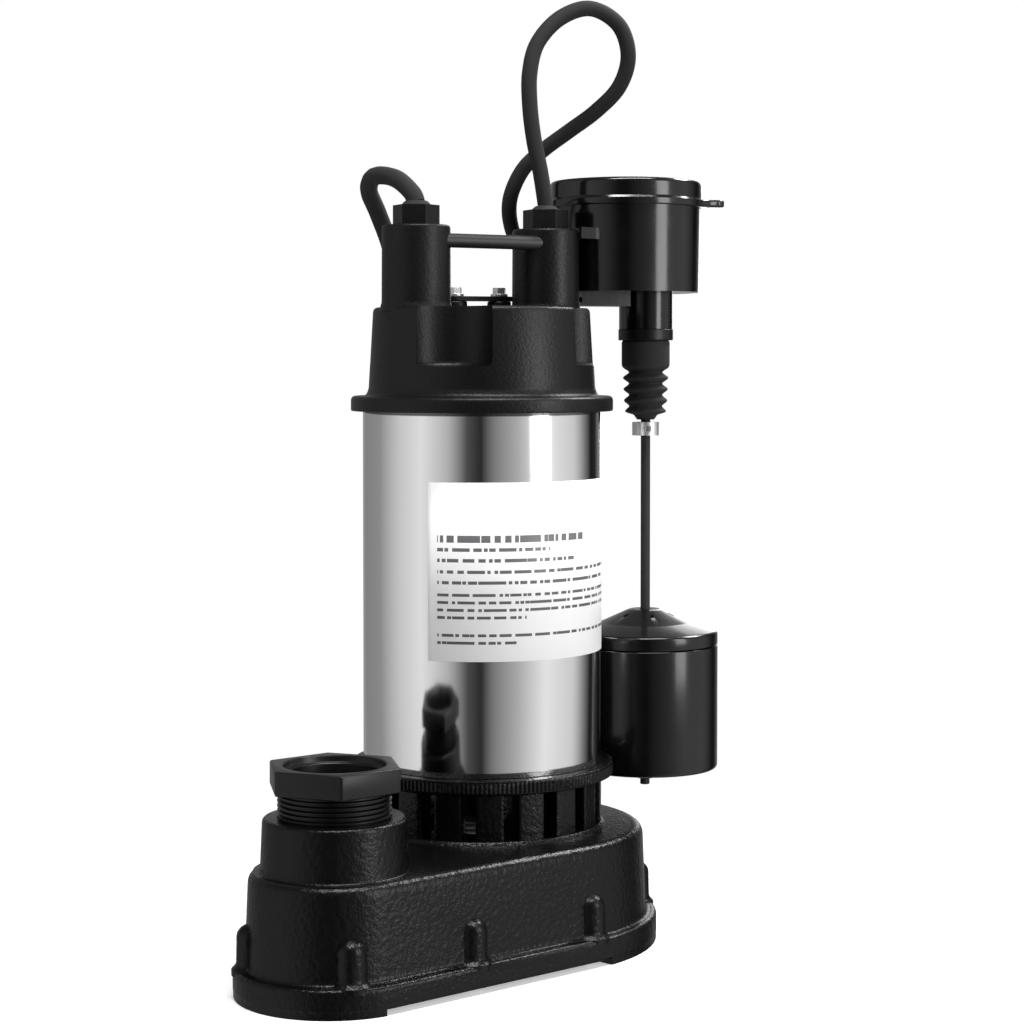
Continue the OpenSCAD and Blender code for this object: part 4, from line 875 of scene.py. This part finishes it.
@dataclass
class PowerLead:
    """The mains lead: up from its nut, down behind the pump, coiled and tied, with its plug."""

    r: float = 4.2 * MM
    coil_middle: tuple[float, float] = (-0.087, 0.140)
    outer_r: float = 0.059
    coil_r: float = 0.0505
    inner_r: float = 0.042
    rows: tuple[float, ...] = (0.0043, 0.0128, 0.0213)
    start_turn: float = math.radians(214.8)
    turns: float = 7.206
    inner_end: float = 0.016
    steps_per_turn: int = 40

    def route(self) -> list[Vector]:
        """The line from the nut down to the coil."""
        return eased_line(millimetres(
            (-16.2, -30.5, 338), (-19, -30, 343), (-30, -27, 350), (-46, -20, 352), (-59, -6, 347),
            (-64, 9, 337), (-65, 21, 321), (-66, 27, 303), (-67, 28, 284), (-67, 28, 265),
            (-67, 28, 246), (-68, 29, 227),
            (-69, 30, 208), (-70, 31, 189), (-73, 33, 170), (-75, 35, 151), (-77, 37, 132), (-80, 40, 113),
            (-83, 43, 94), (-86, 46, 75), (-90, 49, 57), (-97, 56, 40), (-105, 65, 25), (-114, 77, 12),
            (-125, 91, 6), (-135.5, 106.3, 4.3),
        ))

    def tail(self) -> list[Vector]:
        """The line from the coil up to the plug."""
        return eased_line(millimetres(
            (-120, 167, 16), (-106, 178, 20), (-87, 183, 25), (-69, 182, 30), (-55, 172, 34), (-49, 155, 37),
            (-52, 138, 39), (-63, 125.8, 38.7),
        ))

    def _at(self, t: float) -> Vector:
        """The coil's line after t turns."""
        low, mid, top = self.rows
        if t <= 3:
            r = self.outer_r + (self.coil_r - self.outer_r) * step(t, 2.78, 3.0)
            z = low + (mid - low) * step(t, 0.6, 0.78) + (top - mid) * step(t, 1.6, 1.78)
        elif t <= 6:
            r = self.coil_r + (self.inner_r - self.coil_r) * step(t, 5.78, 6.0)
            z = top - (top - mid) * step(t, 3.58, 3.76) - (mid - low) * step(t, 4.58, 4.76)
        else:
            r = self.inner_r
            z = low + (mid - low) * step(t, 6.58, 6.76) + (self.inner_end - mid) * step(t, 6.9, self.turns)
        a = self.start_turn - TURN * t
        return Vector((*polar(r, a, self.coil_middle), z))

    def coil(self) -> list[Vector]:
        """The coil's turns, clockwise from above."""
        count = int(self.turns * self.steps_per_turn)
        return [self._at(self.turns * k / count) for k in range(count + 1)]

    def _plug(self) -> bpy.types.Object:
        """The moulded plug: a rounded body with grip ribs and a ringed, tapered relief."""
        ahead = math.radians(211)
        at = Matrix.Translation((-0.065, 0.123, 0.0385)) @ Matrix.Rotation(ahead, 4, "Z")
        at = at @ Matrix.Rotation(math.pi / 2, 4, "Y")
        profile: list[Point2] = [(0, 0.0), (self.r + 0.0009, 0.0)]
        for k in range(5):
            r, x = self.r + 0.0012 + 0.0007 * k, 0.004 + 0.0048 * k
            profile += [(r, x), (r, x + 0.0026), (r - 0.0009, x + 0.0031), (r - 0.0009, x + 0.0043)]
        profile += [(0.0092, 0.029), (0.0092, 0.033), (0, 0.033)]
        relief = Blank().turn(profile, steps=48)
        body = Blank().block(Vector((-0.0128, -0.0138, 0.03)), Vector((0.0128, 0.0138, 0.0638)))
        body.soften(0.005, 5)
        ribs = [
            Blank().block(Vector((-0.0129, side - 0.0006, z)), Vector((0.0129, side + 0.0006, z + 0.0014)))
            for side in (-0.0136, 0.0136) for z in (0.040, 0.0445, 0.049, 0.0535)
        ]
        body.joined([relief], "UNION").joined(ribs, "DIFFERENCE")
        bmesh.ops.transform(body.bm, matrix=at, verts=body.bm.verts)
        return body.piece("mains_plug", "plug_plastic", "pump", "power_plug")

    def build(self) -> None:
        """Lays the lead and makes its plug and tie."""
        line = self.route()[:-1] + self.coil() + self.tail()[1:]
        cord = strand("mains_lead", line, self.r)
        enlist(cord, "cord_rubber", "pump", "power_cord", "power_cord_coil", "power_cord_tail")
        plug = self._plug()
        blades = eased("plug_blades", "mains_plug_blades", "contact_brass", "pump", 0.3 * MM)
        tie = eased("coil_tie", "lead_tie", "tie_plastic", "pump", 0.5 * MM)
        log.info("mains lead: %.3f m", length_of(line))
        length_of(line)


@dataclass
class SwitchLead:
    """The switch's lead: a tall loop from its nut to the cup."""

    r: float = 3.7 * MM

    def route(self) -> list[Vector]:
        """The line from the nut to the inlet on the cup."""
        return eased_line(millimetres(
            (16.2, 30.5, 339), (15, 28, 354), (13, 25, 370), (12, 23, 386), (12, 23, 401), (14, 27, 415),
            (21, 36, 427), (31, 47, 432), (40, 58, 425), (42, 64, 411), (36, 66, 397), (24, 65, 386),
            (11, 62, 377), (-2, 59, 368), (-12, 57, 359), (-19, 57, 346), (-22, 62, 334), (-24, 74, 324),
            (-20, 86, 318), (-9, 92, 317),
        ), 8)

    def build(self) -> None:
        """Lays the lead."""
        line = self.route()
        cord = strand("switch_lead", line, self.r)
        enlist(cord, "cord_rubber", "pump", "switch_cord")
        log.info("switch lead: %.3f m", length_of(line))
        length_of(line)


@dataclass
class Casing:
    """The cast base: flange on feet, wall, deck, screw bosses and the outlet's boss."""

    motor_r: float = 0.075
    outlet_r: float = 0.037
    offset: float = 0.118
    deck: float = 0.0525
    flange_top: float = 0.0125
    margin: float = 0.006
    boss_r: float = 0.00675
    boss_top: float = 0.0315
    boss_inset: float = 0.002
    boss_dome: float = 0.0055
    side_boss_at: float = 0.59

    @property
    def lean(self) -> float:
        """Angle of the straight sides."""
        return math.asin((self.motor_r - self.outlet_r) / self.offset)

    def outline(self, margin: float, steps: int = 40) -> list[Point2]:
        """The casing's outline, grown by a margin.

        Args:
            margin: How far it is grown.
            steps: Segments along each of its two arcs.

        Returns:
            Its corners, anticlockwise.
        """
        points: list[Point2] = []
        for y, r, start, end in (
            (0.0, self.motor_r, -self.lean, math.pi + self.lean),
            (-self.offset, self.outlet_r, math.pi + self.lean, TURN - self.lean),
        ):
            for k in range(steps + 1):
                points.append(polar(r + margin, start + (end - start) * k / steps, (0.0, y)))
        return points

    def _shell(self) -> Blank:
        """The outside, from the flange's foot to the deck."""
        profile = rounded([
            (self.margin - 0.001, 0.0025, 0), (self.margin, 0.0035, 0.001),
            (self.margin, self.flange_top, 0.004), (0.001, self.flange_top, 0.003),
            (-0.0006, self.deck, 0.005), (-0.02, self.deck, 0),
        ], 6)
        blank = Blank()
        bm = blank.bm
        rings = [[bm.verts.new((x, y, z)) for x, y in self.outline(m)] for m, z in profile]
        for low, high in zip(rings, rings[1:]):
            for k in range(len(low)):
                j = (k + 1) % len(low)
                bm.faces.new((low[k], low[j], high[j], high[k]))
        bm.faces.new(rings[0])
        bm.faces.new(rings[-1])
        return blank.merged()

    def _bosses(self) -> list[Blank]:
        """The screw bosses with their rounded tops."""
        motor_r, outlet_r = self.motor_r - self.boss_inset, self.outlet_r - self.boss_inset
        spots = [polar(motor_r, math.radians(a)) for a in (-17.5, 42, 138, 197.5)]
        spots += [polar(outlet_r, math.radians(a), (0.0, -self.offset)) for a in (-44, -136)]
        run = self.side_boss_at * self.offset * math.cos(self.lean)
        x = motor_r * math.cos(self.lean) - run * math.sin(self.lean)
        y = -motor_r * math.sin(self.lean) - run * math.cos(self.lean)
        spots += [(x, y), (-x, y)]
        profile = rounded([
            (0, 0.01, 0), (self.boss_r + 0.002, 0.01, 0), (self.boss_r + 0.002, self.flange_top, 0),
            (self.boss_r, self.flange_top + 0.002, 0.003),
            (self.boss_r - 0.0002, self.boss_top - self.boss_dome, 0),
        ])
        for k in range(1, 9):
            a = k * math.pi / 16
            r, z = (self.boss_r - 0.0002) * math.cos(a), self.boss_top - self.boss_dome * (1 - math.sin(a))
            profile.append((r, z))
        profile[-1] = (0, self.boss_top)
        return [Blank().turn(profile, Vector((px, py, 0)), 32) for px, py in spots]

    def _outlet(self) -> Blank:
        """The boss that carries the adapter."""
        profile = rounded([
            (0, 0.045, 0), (0.0345, 0.045, 0), (0.0345, self.deck, 0), (0.0315, self.deck, 0.005),
            (0.0305, 0.075, 0.0022), (0.02, 0.075, 0), (0, 0.075, 0),
        ], 6)
        return Blank().turn(profile, Vector((0, -self.offset, 0)))

    def _cuts(self) -> list[Blank]:
        """What is taken away below, within and at the outlet."""
        seat = Blank().slab(self.outline(self.margin - 0.0032), 0.0015, 0.0088)
        room = Blank().turn([(0, 0.008), (0.064, 0.008), (0.064, 0.046), (0, 0.046)])
        r, ends = 0.027, ((0.037, 0.0), (0.0, -self.offset))
        channel = Blank()
        for x, y in ends:
            bmesh.ops.create_cone(
                channel.bm, cap_ends=True, segments=48, radius1=r, radius2=r, depth=0.0378,
                matrix=Matrix.Translation((x, y, 0.027)),
            )
        bmesh.ops.convex_hull(channel.bm, input=channel.bm.verts)
        for v in [v for v in channel.bm.verts if not v.link_faces]:
            channel.bm.verts.remove(v)
        channel.merged()
        eye = Blank().turn([(0, 0.045), (0.0299, 0.045), (0.0299, 0.06), (0, 0.06)])
        bore = Blank().turn(
            [(0, 0.0445), (0.0186, 0.0445), (0.0186, 0.06), (0.02425, 0.06), (0.02425, 0.08), (0, 0.08)],
            Vector((0, -self.offset, 0)),
        )
        return [seat, room, channel, eye, bore]

    def _feet(self) -> list[Blank]:
        """The two low ribs that the flange stands on."""
        outlet, rad, heights = Vector((0, -self.offset, 0)), math.radians, (0.0, 0.004)
        return [
            Blank().sector(AXIS, (0.072, 0.0808), (rad(-13), rad(193)), heights, 60),
            Blank().sector(outlet, (0.034, 0.0428), (rad(205), rad(335)), heights, 40),
        ]

    def build(self) -> None:
        """Makes the casing and dresses what is screwed into it."""
        blank = self._shell().joined([self._outlet(), *self._bosses()], "UNION")
        blank.joined(self._cuts(), "DIFFERENCE").joined(self._feet(), "UNION")
        blank.piece("cast_casing", "casing_paint", "pump", "pump_casing", sharp=math.radians(38))
        eased("base_plate", "bottom_plate", "casing_paint", "pump", 0.4 * MM)
        eased("base_screws", "plate_screws", "screw_steel", "pump", 0.3 * MM)


@dataclass
class OutletAdapter:
    """The screwed plastic adapter with its hexagon."""

    spot: Vector = field(default_factory=lambda: Vector((0, -0.118, 0)))
    ridge_r: float = 0.02415
    root_r: float = 0.0229
    pitch: float = 0.0021
    hex_r: float = 0.0525 / 2 / math.cos(math.pi / 6)
    turn: float = math.radians(-49)

    def build(self) -> None:
        """Makes the adapter."""
        outer: list[Point2] = [(0, 0.06), (0.0238, 0.06), (0.0238, 0.0746)]
        z = 0.0746
        while z + self.pitch < 0.0866:
            outer += [
                (self.root_r, z + 0.1 * self.pitch), (self.root_r, z + 0.3 * self.pitch),
                (self.ridge_r, z + 0.52 * self.pitch), (self.ridge_r, z + 0.8 * self.pitch),
            ]
            z += self.pitch
        outer += [(self.root_r, z), (self.root_r, 0.088), (0, 0.088)]
        stem = Blank().turn(outer, self.spot, 112)
        corners = [polar(self.hex_r, self.turn + k * TURN / 6, self.spot[:2]) for k in range(6)]
        grip = Blank().slab(corners, 0.0865, 0.097).soften(0.0009, 3)
        bore = Blank().turn(
            rounded([
                (0, 0.059, 0), (0.0186, 0.059, 0), (0.0186, 0.07, 0), (0.0196, 0.07, 0),
                (0.0196, 0.094, 0.0006), (0.0214, 0.094, 0.0008), (0.0218, 0.0966, 0), (0.0226, 0.0972, 0),
                (0.0226, 0.1, 0), (0, 0.1, 0),
            ], 3), self.spot, 112,
        )
        blank = grip.joined([stem], "UNION").joined([bore], "DIFFERENCE")
        blank.piece("outlet_adapter", "adapter_plastic", "pump", "discharge_adapter")


@dataclass
class Intake:
    """The slotted intake: fins on the deck under a ribbed collar."""

    deck: float = 0.0525
    fin_top: float = 0.0755
    collar_r: float = 0.0607
    collar_top: float = 0.082
    fins: int = 18
    fin_angle: float = math.radians(13)
    phase: float = math.radians(5.3)
    ribs: int = 190
    rib_root: float = 0.994

    def build(self) -> None:
        """Makes the intake."""
        tools = []
        for k in range(self.fins):
            a, half = self.phase + k * TURN / self.fins, self.fin_angle / 2
            fin = Blank().sector(AXIS, (0.0452, 0.0552), (a - half, a + half), (self.deck, self.fin_top), 6)
            tools.append(fin.soften(0.0009, 2, lambda e: abs(e.verts[0].co.z - e.verts[1].co.z) > 0.01))
        foot = Blank().turn(
            rounded([
                (0.0462, self.deck, 0), (0.057, self.deck, 0), (0.0558, self.deck + 0.0018, 0.001),
                (0.0462, self.deck + 0.0018, 0), (0.0462, self.deck, 0),
            ], 3), steps=128,
        )
        collar = Blank().turn(
            rounded([
                (0.022, 0.075, 0), (0.058, 0.075, 0.001), (self.collar_r, 0.0762, 0.0012),
                (self.collar_r, self.collar_top, 0.0014), (0.03, self.collar_top, 0),
                (0.022, self.collar_top, 0), (0.022, 0.075, 0),
            ], 4), steps=2 * self.ribs,
        )
        for vert in collar.bm.verts:
            column = round(math.atan2(vert.co.y, vert.co.x) / TURN * 2 * self.ribs)
            if column % 2 and math.hypot(vert.co.x, vert.co.y) > self.collar_r - 0.0002:
                vert.co.x, vert.co.y = vert.co.x * self.rib_root, vert.co.y * self.rib_root
        ring = Blank().turn(
            [(0.042, 0.0815), (0.0536, 0.0815), (0.0536, 0.09), (0.042, 0.09), (0.042, 0.0815)]
        )
        seat = Blank().turn(
            [(0.0095, 0.0585), (0.019, 0.0585), (0.019, 0.078), (0.0255, 0.082), (0.0255, 0.094),
             (0.0176, 0.094), (0.0176, 0.084), (0.0095, 0.084), (0.0095, 0.0585)], steps=64,
        )
        blank = collar.joined([*tools, foot, ring, seat], "UNION")
        blank.piece("intake", "casing_paint", "pump", "intake_housing")


@dataclass
class Motor:
    """The polished tube with its label."""

    r: float = 0.055
    wall: float = 0.0012
    foot: float = 0.0821
    top: float = 0.2455
    label_foot: float = 0.134
    label_top: float = 0.213
    label_from: float = math.radians(-84)
    label_to: float = math.radians(50)

    def build(self) -> None:
        """Makes the tube and the label."""
        profile = rounded([
            (self.r - self.wall, self.foot, 0), (self.r, self.foot, 0.0003), (self.r, self.top, 0.0003),
            (self.r - self.wall, self.top, 0),
        ], 2)
        tube = Blank().turn([*profile, profile[0]], steps=192)
        tube.piece("motor_shell", "tube_steel", "pump", "motor_tube")
        self._label()

    def _label(self) -> None:
        """Wraps the label round the tube with a map for its bars."""
        blank = Blank()
        bm, steps = blank.bm, 64
        rows = []
        for k in range(steps + 1):
            a = self.label_from + (self.label_to - self.label_from) * k / steps
            at = polar(self.r + FILM_GAP, a)
            rows.append([bm.verts.new((*at, z)) for z in (self.label_foot, self.label_top)])
        uv = bm.loops.layers.uv.new("label")
        for k in range(steps):
            face = bm.faces.new((rows[k][0], rows[k + 1][0], rows[k + 1][1], rows[k][1]))
            for loop, (u, v) in zip(face.loops, ((k, 0), (k + 1, 0), (k + 1, 1), (k, 1))):
                loop[uv].uv = (u / steps, v)
        made = blank.piece("label", "label_film", "pump", "name_label")
        film = made.modifiers.new("film", "SOLIDIFY")
        film.thickness, film.offset = 0.0001, 1.0


@dataclass
class TopCap:
    """The cast cap with its scoops, two posts, handle bar and cord nuts."""

    base: float = 0.2435
    flange_r: float = 0.0605
    top: float = 0.291
    post_top: float = 0.328
    post_r: float = 0.01575
    scoop_r: float = 0.0195
    scoop_at: float = 0.057
    scoop_floor: float = 0.264
    scoop_turn: float = math.radians(17)
    bolt_at: float = 0.046
    post_at: Point2 = (0.0162, 0.0305)
    arm_end: Point2 = (-0.024, 0.0148)
    switch_at: Point2 = (0.0376, 0.0907)

    def _solid(self) -> Blank:
        """The cap's turned outside."""
        profile = rounded([
            (0, self.base - 0.008, 0), (0.0534, self.base - 0.008, 0), (0.0534, self.base, 0),
            (self.flange_r, self.base, 0.0008), (self.flange_r, 0.2505, 0.0024), (0.0535, 0.2505, 0.0035),
            (0.0523, 0.254, 0.004), (0.0502, self.top, 0.0026), (0.02, self.top, 0), (0, self.top, 0),
        ], 6)
        return Blank().turn(profile, steps=144)

    def _post(self, spot: Vector) -> Blank:
        """A post with a flared foot and a rounded top."""
        profile = rounded([
            (0, 0.289, 0), (self.post_r + 0.0006, 0.289, 0), (self.post_r + 0.0006, self.top, 0),
            (self.post_r, self.top + 0.002, 0.003), (self.post_r - 0.0002, self.post_top, 0.0016),
            (0.006, self.post_top, 0), (0, self.post_top, 0),
        ], 6)
        return Blank().turn(profile, spot, 72)

    def _scoops(self) -> list[Blank]:
        """What is cut for the tie bolts, with rounded floors."""
        cuts = []
        for k in range(4):
            a = self.scoop_turn + k * TURN / 4
            profile = rounded([
                (0, self.scoop_floor, 0), (self.scoop_r, self.scoop_floor, 0.003),
                (self.scoop_r + 0.0008, 0.31, 0), (0, 0.31, 0),
            ])
            cuts.append(Blank().turn(profile, Vector((*polar(self.scoop_at, a), 0))))
            bolt = Vector((*polar(self.bolt_at, a), 0))
            cuts.append(Blank().turn([(0, 0.258), (0.00445, 0.258), (0.00445, 0.27), (0, 0.27)], bolt, 32))
        return cuts

    def build(self) -> None:
        """Makes the cap and what is fitted to it."""
        x, y = self.post_at
        posts = [self._post(Vector((x, y, 0))), self._post(Vector((-x, -y, 0)))]
        turn = math.atan2(self.switch_at[1] - self.arm_end[1], self.switch_at[0] - self.arm_end[0])
        pad = rounded([(0, 0.285, 0), (0.0062, 0.285, 0), (0.0056, 0.2947, 0.0008), (0, 0.2947, 0)], 3)
        pads = [Blank().turn(pad, Vector((*polar(run, turn, self.arm_end), 0)), 40) for run in (0.0, 0.022)]
        hollow = Blank().turn(
            [(0, 0.234), (0.0401, 0.234), (0.0401, 0.258), (0.033, 0.258), (0.033, 0.285), (0, 0.285)]
        )
        body = self._solid().joined([*posts, *pads], "UNION").joined([*self._scoops(), hollow], "DIFFERENCE")
        body.piece("cast_cap", "cap_paint", "pump", "top_cap", sharp=math.radians(40))
        eased("tie_bolts", "cap_bolts", "screw_steel", "pump", 0.35 * MM)
        eased("handle_bar", "carry_bar", "bar_paint", "pump", 0.4 * MM)
        for side in ("power", "switch"):
            eased(f"{side}_cord_nut", f"{side}_gland_nut", "nut_plastic", "pump", 0.6 * MM, 3)
            eased(f"{side}_cord_grommet", f"{side}_gland_sleeve", "cord_rubber", "pump", 0.5 * MM)


@dataclass
class FloatSwitch:
    """The switch on its arm, the bellows, the rod and the float."""

    axis: Vector = field(default_factory=lambda: Vector((0.03758, 0.09072, 0)))
    boot_r: float = 0.0117
    valley_r: float = 0.0077
    neck: float = 0.282
    band_foot: float = 0.2765
    cuff: float = 0.2635
    fold: float = 0.0055
    folds: int = 4
    tail_r: float = 0.0046
    tail: float = 0.238
    float_r: float = 0.0353
    float_foot: float = 0.0683
    seam: float = 0.1285
    shoulder: float = 0.135
    float_top: float = 0.1456
    bore: float = 0.0029
    slot_z: float = 0.1436

    def build(self) -> None:
        """Makes the switch's pieces from the arm down to the float."""
        eased("switch_bracket", "switch_arm", "bracket_steel", "pump", 0.3 * MM)
        eased("bracket_screws", "arm_screws", "screw_steel", "pump", 0.3 * MM)
        eased("switch_housing", "switch_cup", "switch_plastic", "pump", 0.6 * MM, 3)
        self._cover()
        eased("boot_band", "boot_clip", "nut_plastic", "pump", 0.5 * MM)
        self._boot()
        eased("float_rod", "float_stem", "rod_plastic", "rod", 0.3 * MM)
        eased("rod_collar", "stem_collar", "collar_steel", "rod", 0.4 * MM)
        eased("collar_screw", "stem_collar_screw", "screw_steel", "rod", 0.2 * MM)
        eased("float_stop", "stem_stop", "rod_plastic", "rod", 0.5 * MM)
        self._float()

    def _cover(self) -> None:
        """The cup's lid with its thumb tab."""
        spot = Vector((0.03143, 0.08125, 0))
        cover = Blank().turn(rounded([
            (0, 0.3431, 0), (0.0362, 0.3431, 0), (0.0362, 0.3402, 0.0003), (0.0376, 0.3402, 0.0007),
            (0.0376, 0.3432, 0.0006), (0.0368, 0.3445, 0.0012), (0.0366, 0.353, 0.0026), (0.02, 0.353, 0),
            (0, 0.353, 0),
        ], 5), spot, 128)
        way = Matrix.Translation(spot) @ Matrix.Rotation(math.radians(31), 4, "Z")
        half = ((0.034, 0.013), (0.041, 0.0068), (0.0455, 0.0058), (0.0475, 0.0035))
        corners = [way @ Vector((x, -y, 0)) for x, y in half] + [way @ Vector((x, y, 0)) for x, y in half[::-1]]
        tab = Blank().slab([tuple(c[:2]) for c in corners], 0.3404, 0.344).soften(0.0011)
        cover.joined([tab], "UNION").piece("switch_cover", "switch_plastic", "pump", "switch_lid")

    def _boot(self) -> None:
        """The bellows round the rod's axis, turned with its folds."""
        outer = [(self.boot_r - 0.0006, self.neck - 0.0003, 0), (self.boot_r - 0.0006, self.band_foot, 0.0008),
                 (self.boot_r, self.band_foot - 0.001, 0.0008), (self.boot_r, self.cuff, 0.0028)]
        for k in range(self.folds):
            outer.append((self.valley_r, self.cuff - (k + 0.45) * self.fold, 0.0008))
            outer.append((self.boot_r - 0.0003 * k, self.cuff - (k + 0.95) * self.fold, 0.0011))
        outer += [
            (self.tail_r + 0.0012, self.cuff - self.folds * self.fold - 0.0012, 0.001),
            (self.tail_r, self.tail + 0.0006, 0.0005), (self.tail_r - 0.0004, self.tail, 0),
        ]
        skin = rounded(outer, 4)
        lining = [(max(r - 0.0012, 0.0028), z) for r, z in reversed(skin)]
        made = Blank().turn([*skin, *lining, skin[0]], self.axis, 72).piece(
            "bellows", "boot_rubber", "pump", "bellows_boot", sharp=math.radians(70)
        )
        made.parent = None
        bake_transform(made)

    def _float(self) -> None:
        """The float's can and its capped top."""
        can = rounded([
            (self.bore, self.float_foot, 0), (self.float_r, self.float_foot, 0.0022),
            (self.float_r, self.seam - 0.0002, 0.0006), (self.float_r - 0.002, self.seam - 0.0002, 0),
            (self.float_r - 0.002, self.float_foot + 0.002, 0.001),
            (self.bore + 0.0016, self.float_foot + 0.002, 0), (self.bore + 0.0016, self.seam - 0.0002, 0),
            (self.bore, self.seam - 0.0002, 0),
        ], 4)
        shell = Blank().turn([*can, can[0]], self.axis, 128)
        shell.piece("float_can", "float_plastic", "float", "float_shell")
        lid = rounded([
            (self.bore, self.seam, 0), (self.bore + 0.0016, self.seam, 0),
            (self.bore + 0.0016, self.float_top - 0.005, 0),
            (self.float_r - 0.002, self.shoulder - 0.002, 0.001), (self.float_r - 0.002, self.seam, 0),
            (self.float_r, self.seam + 0.0002, 0.0006),
            (self.float_r, self.shoulder, 0.002), (0.0215, self.shoulder + 0.0042, 0.006),
            (0.0085, self.float_top - 0.0004, 0.002), (0.007, self.float_top, 0.0005),
            (self.bore, self.float_top, 0),
        ], 4)
        top = Blank().turn([*lid, lid[0]], self.axis, 128)
        slots = []
        low, high = Vector((0.0115, -0.0008, -0.0012)), Vector((0.0165, 0.0008, 0.004))
        at = Matrix.Translation(self.axis + Vector((0, 0, self.slot_z)))
        for k in range(6):
            slots.append(Blank().block(low, high, at @ Matrix.Rotation(math.radians(12 + 60 * k), 4, "Z")))
        top.joined(slots, "DIFFERENCE").piece("float_lid", "float_plastic", "float", "float_cap")


def dress_nodes(record: dict) -> None:
    """Gives each frame node the finish that the record names for it."""
    for part in record["subparts"]:
        node = bpy.data.objects[part["node"]]
        node.data.materials.clear()
        node.data.materials.append(FINISHES[part["material_slot"]].material())


def main() -> None:
    """Builds the scene in order."""
    logging.basicConfig(level=logging.INFO, format="%(name)s: %(message)s")
    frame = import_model()
    dress_nodes(frame["record"])
    Studio().build()
    PowerLead().build()
    SwitchLead().build()
    for assembly in (Casing(), OutletAdapter(), Intake(), Motor(), TopCap(), FloatSwitch()):
        log.info("building %s", type(assembly).__name__)
        assembly.build()


if __name__ == "__main__":
    main()
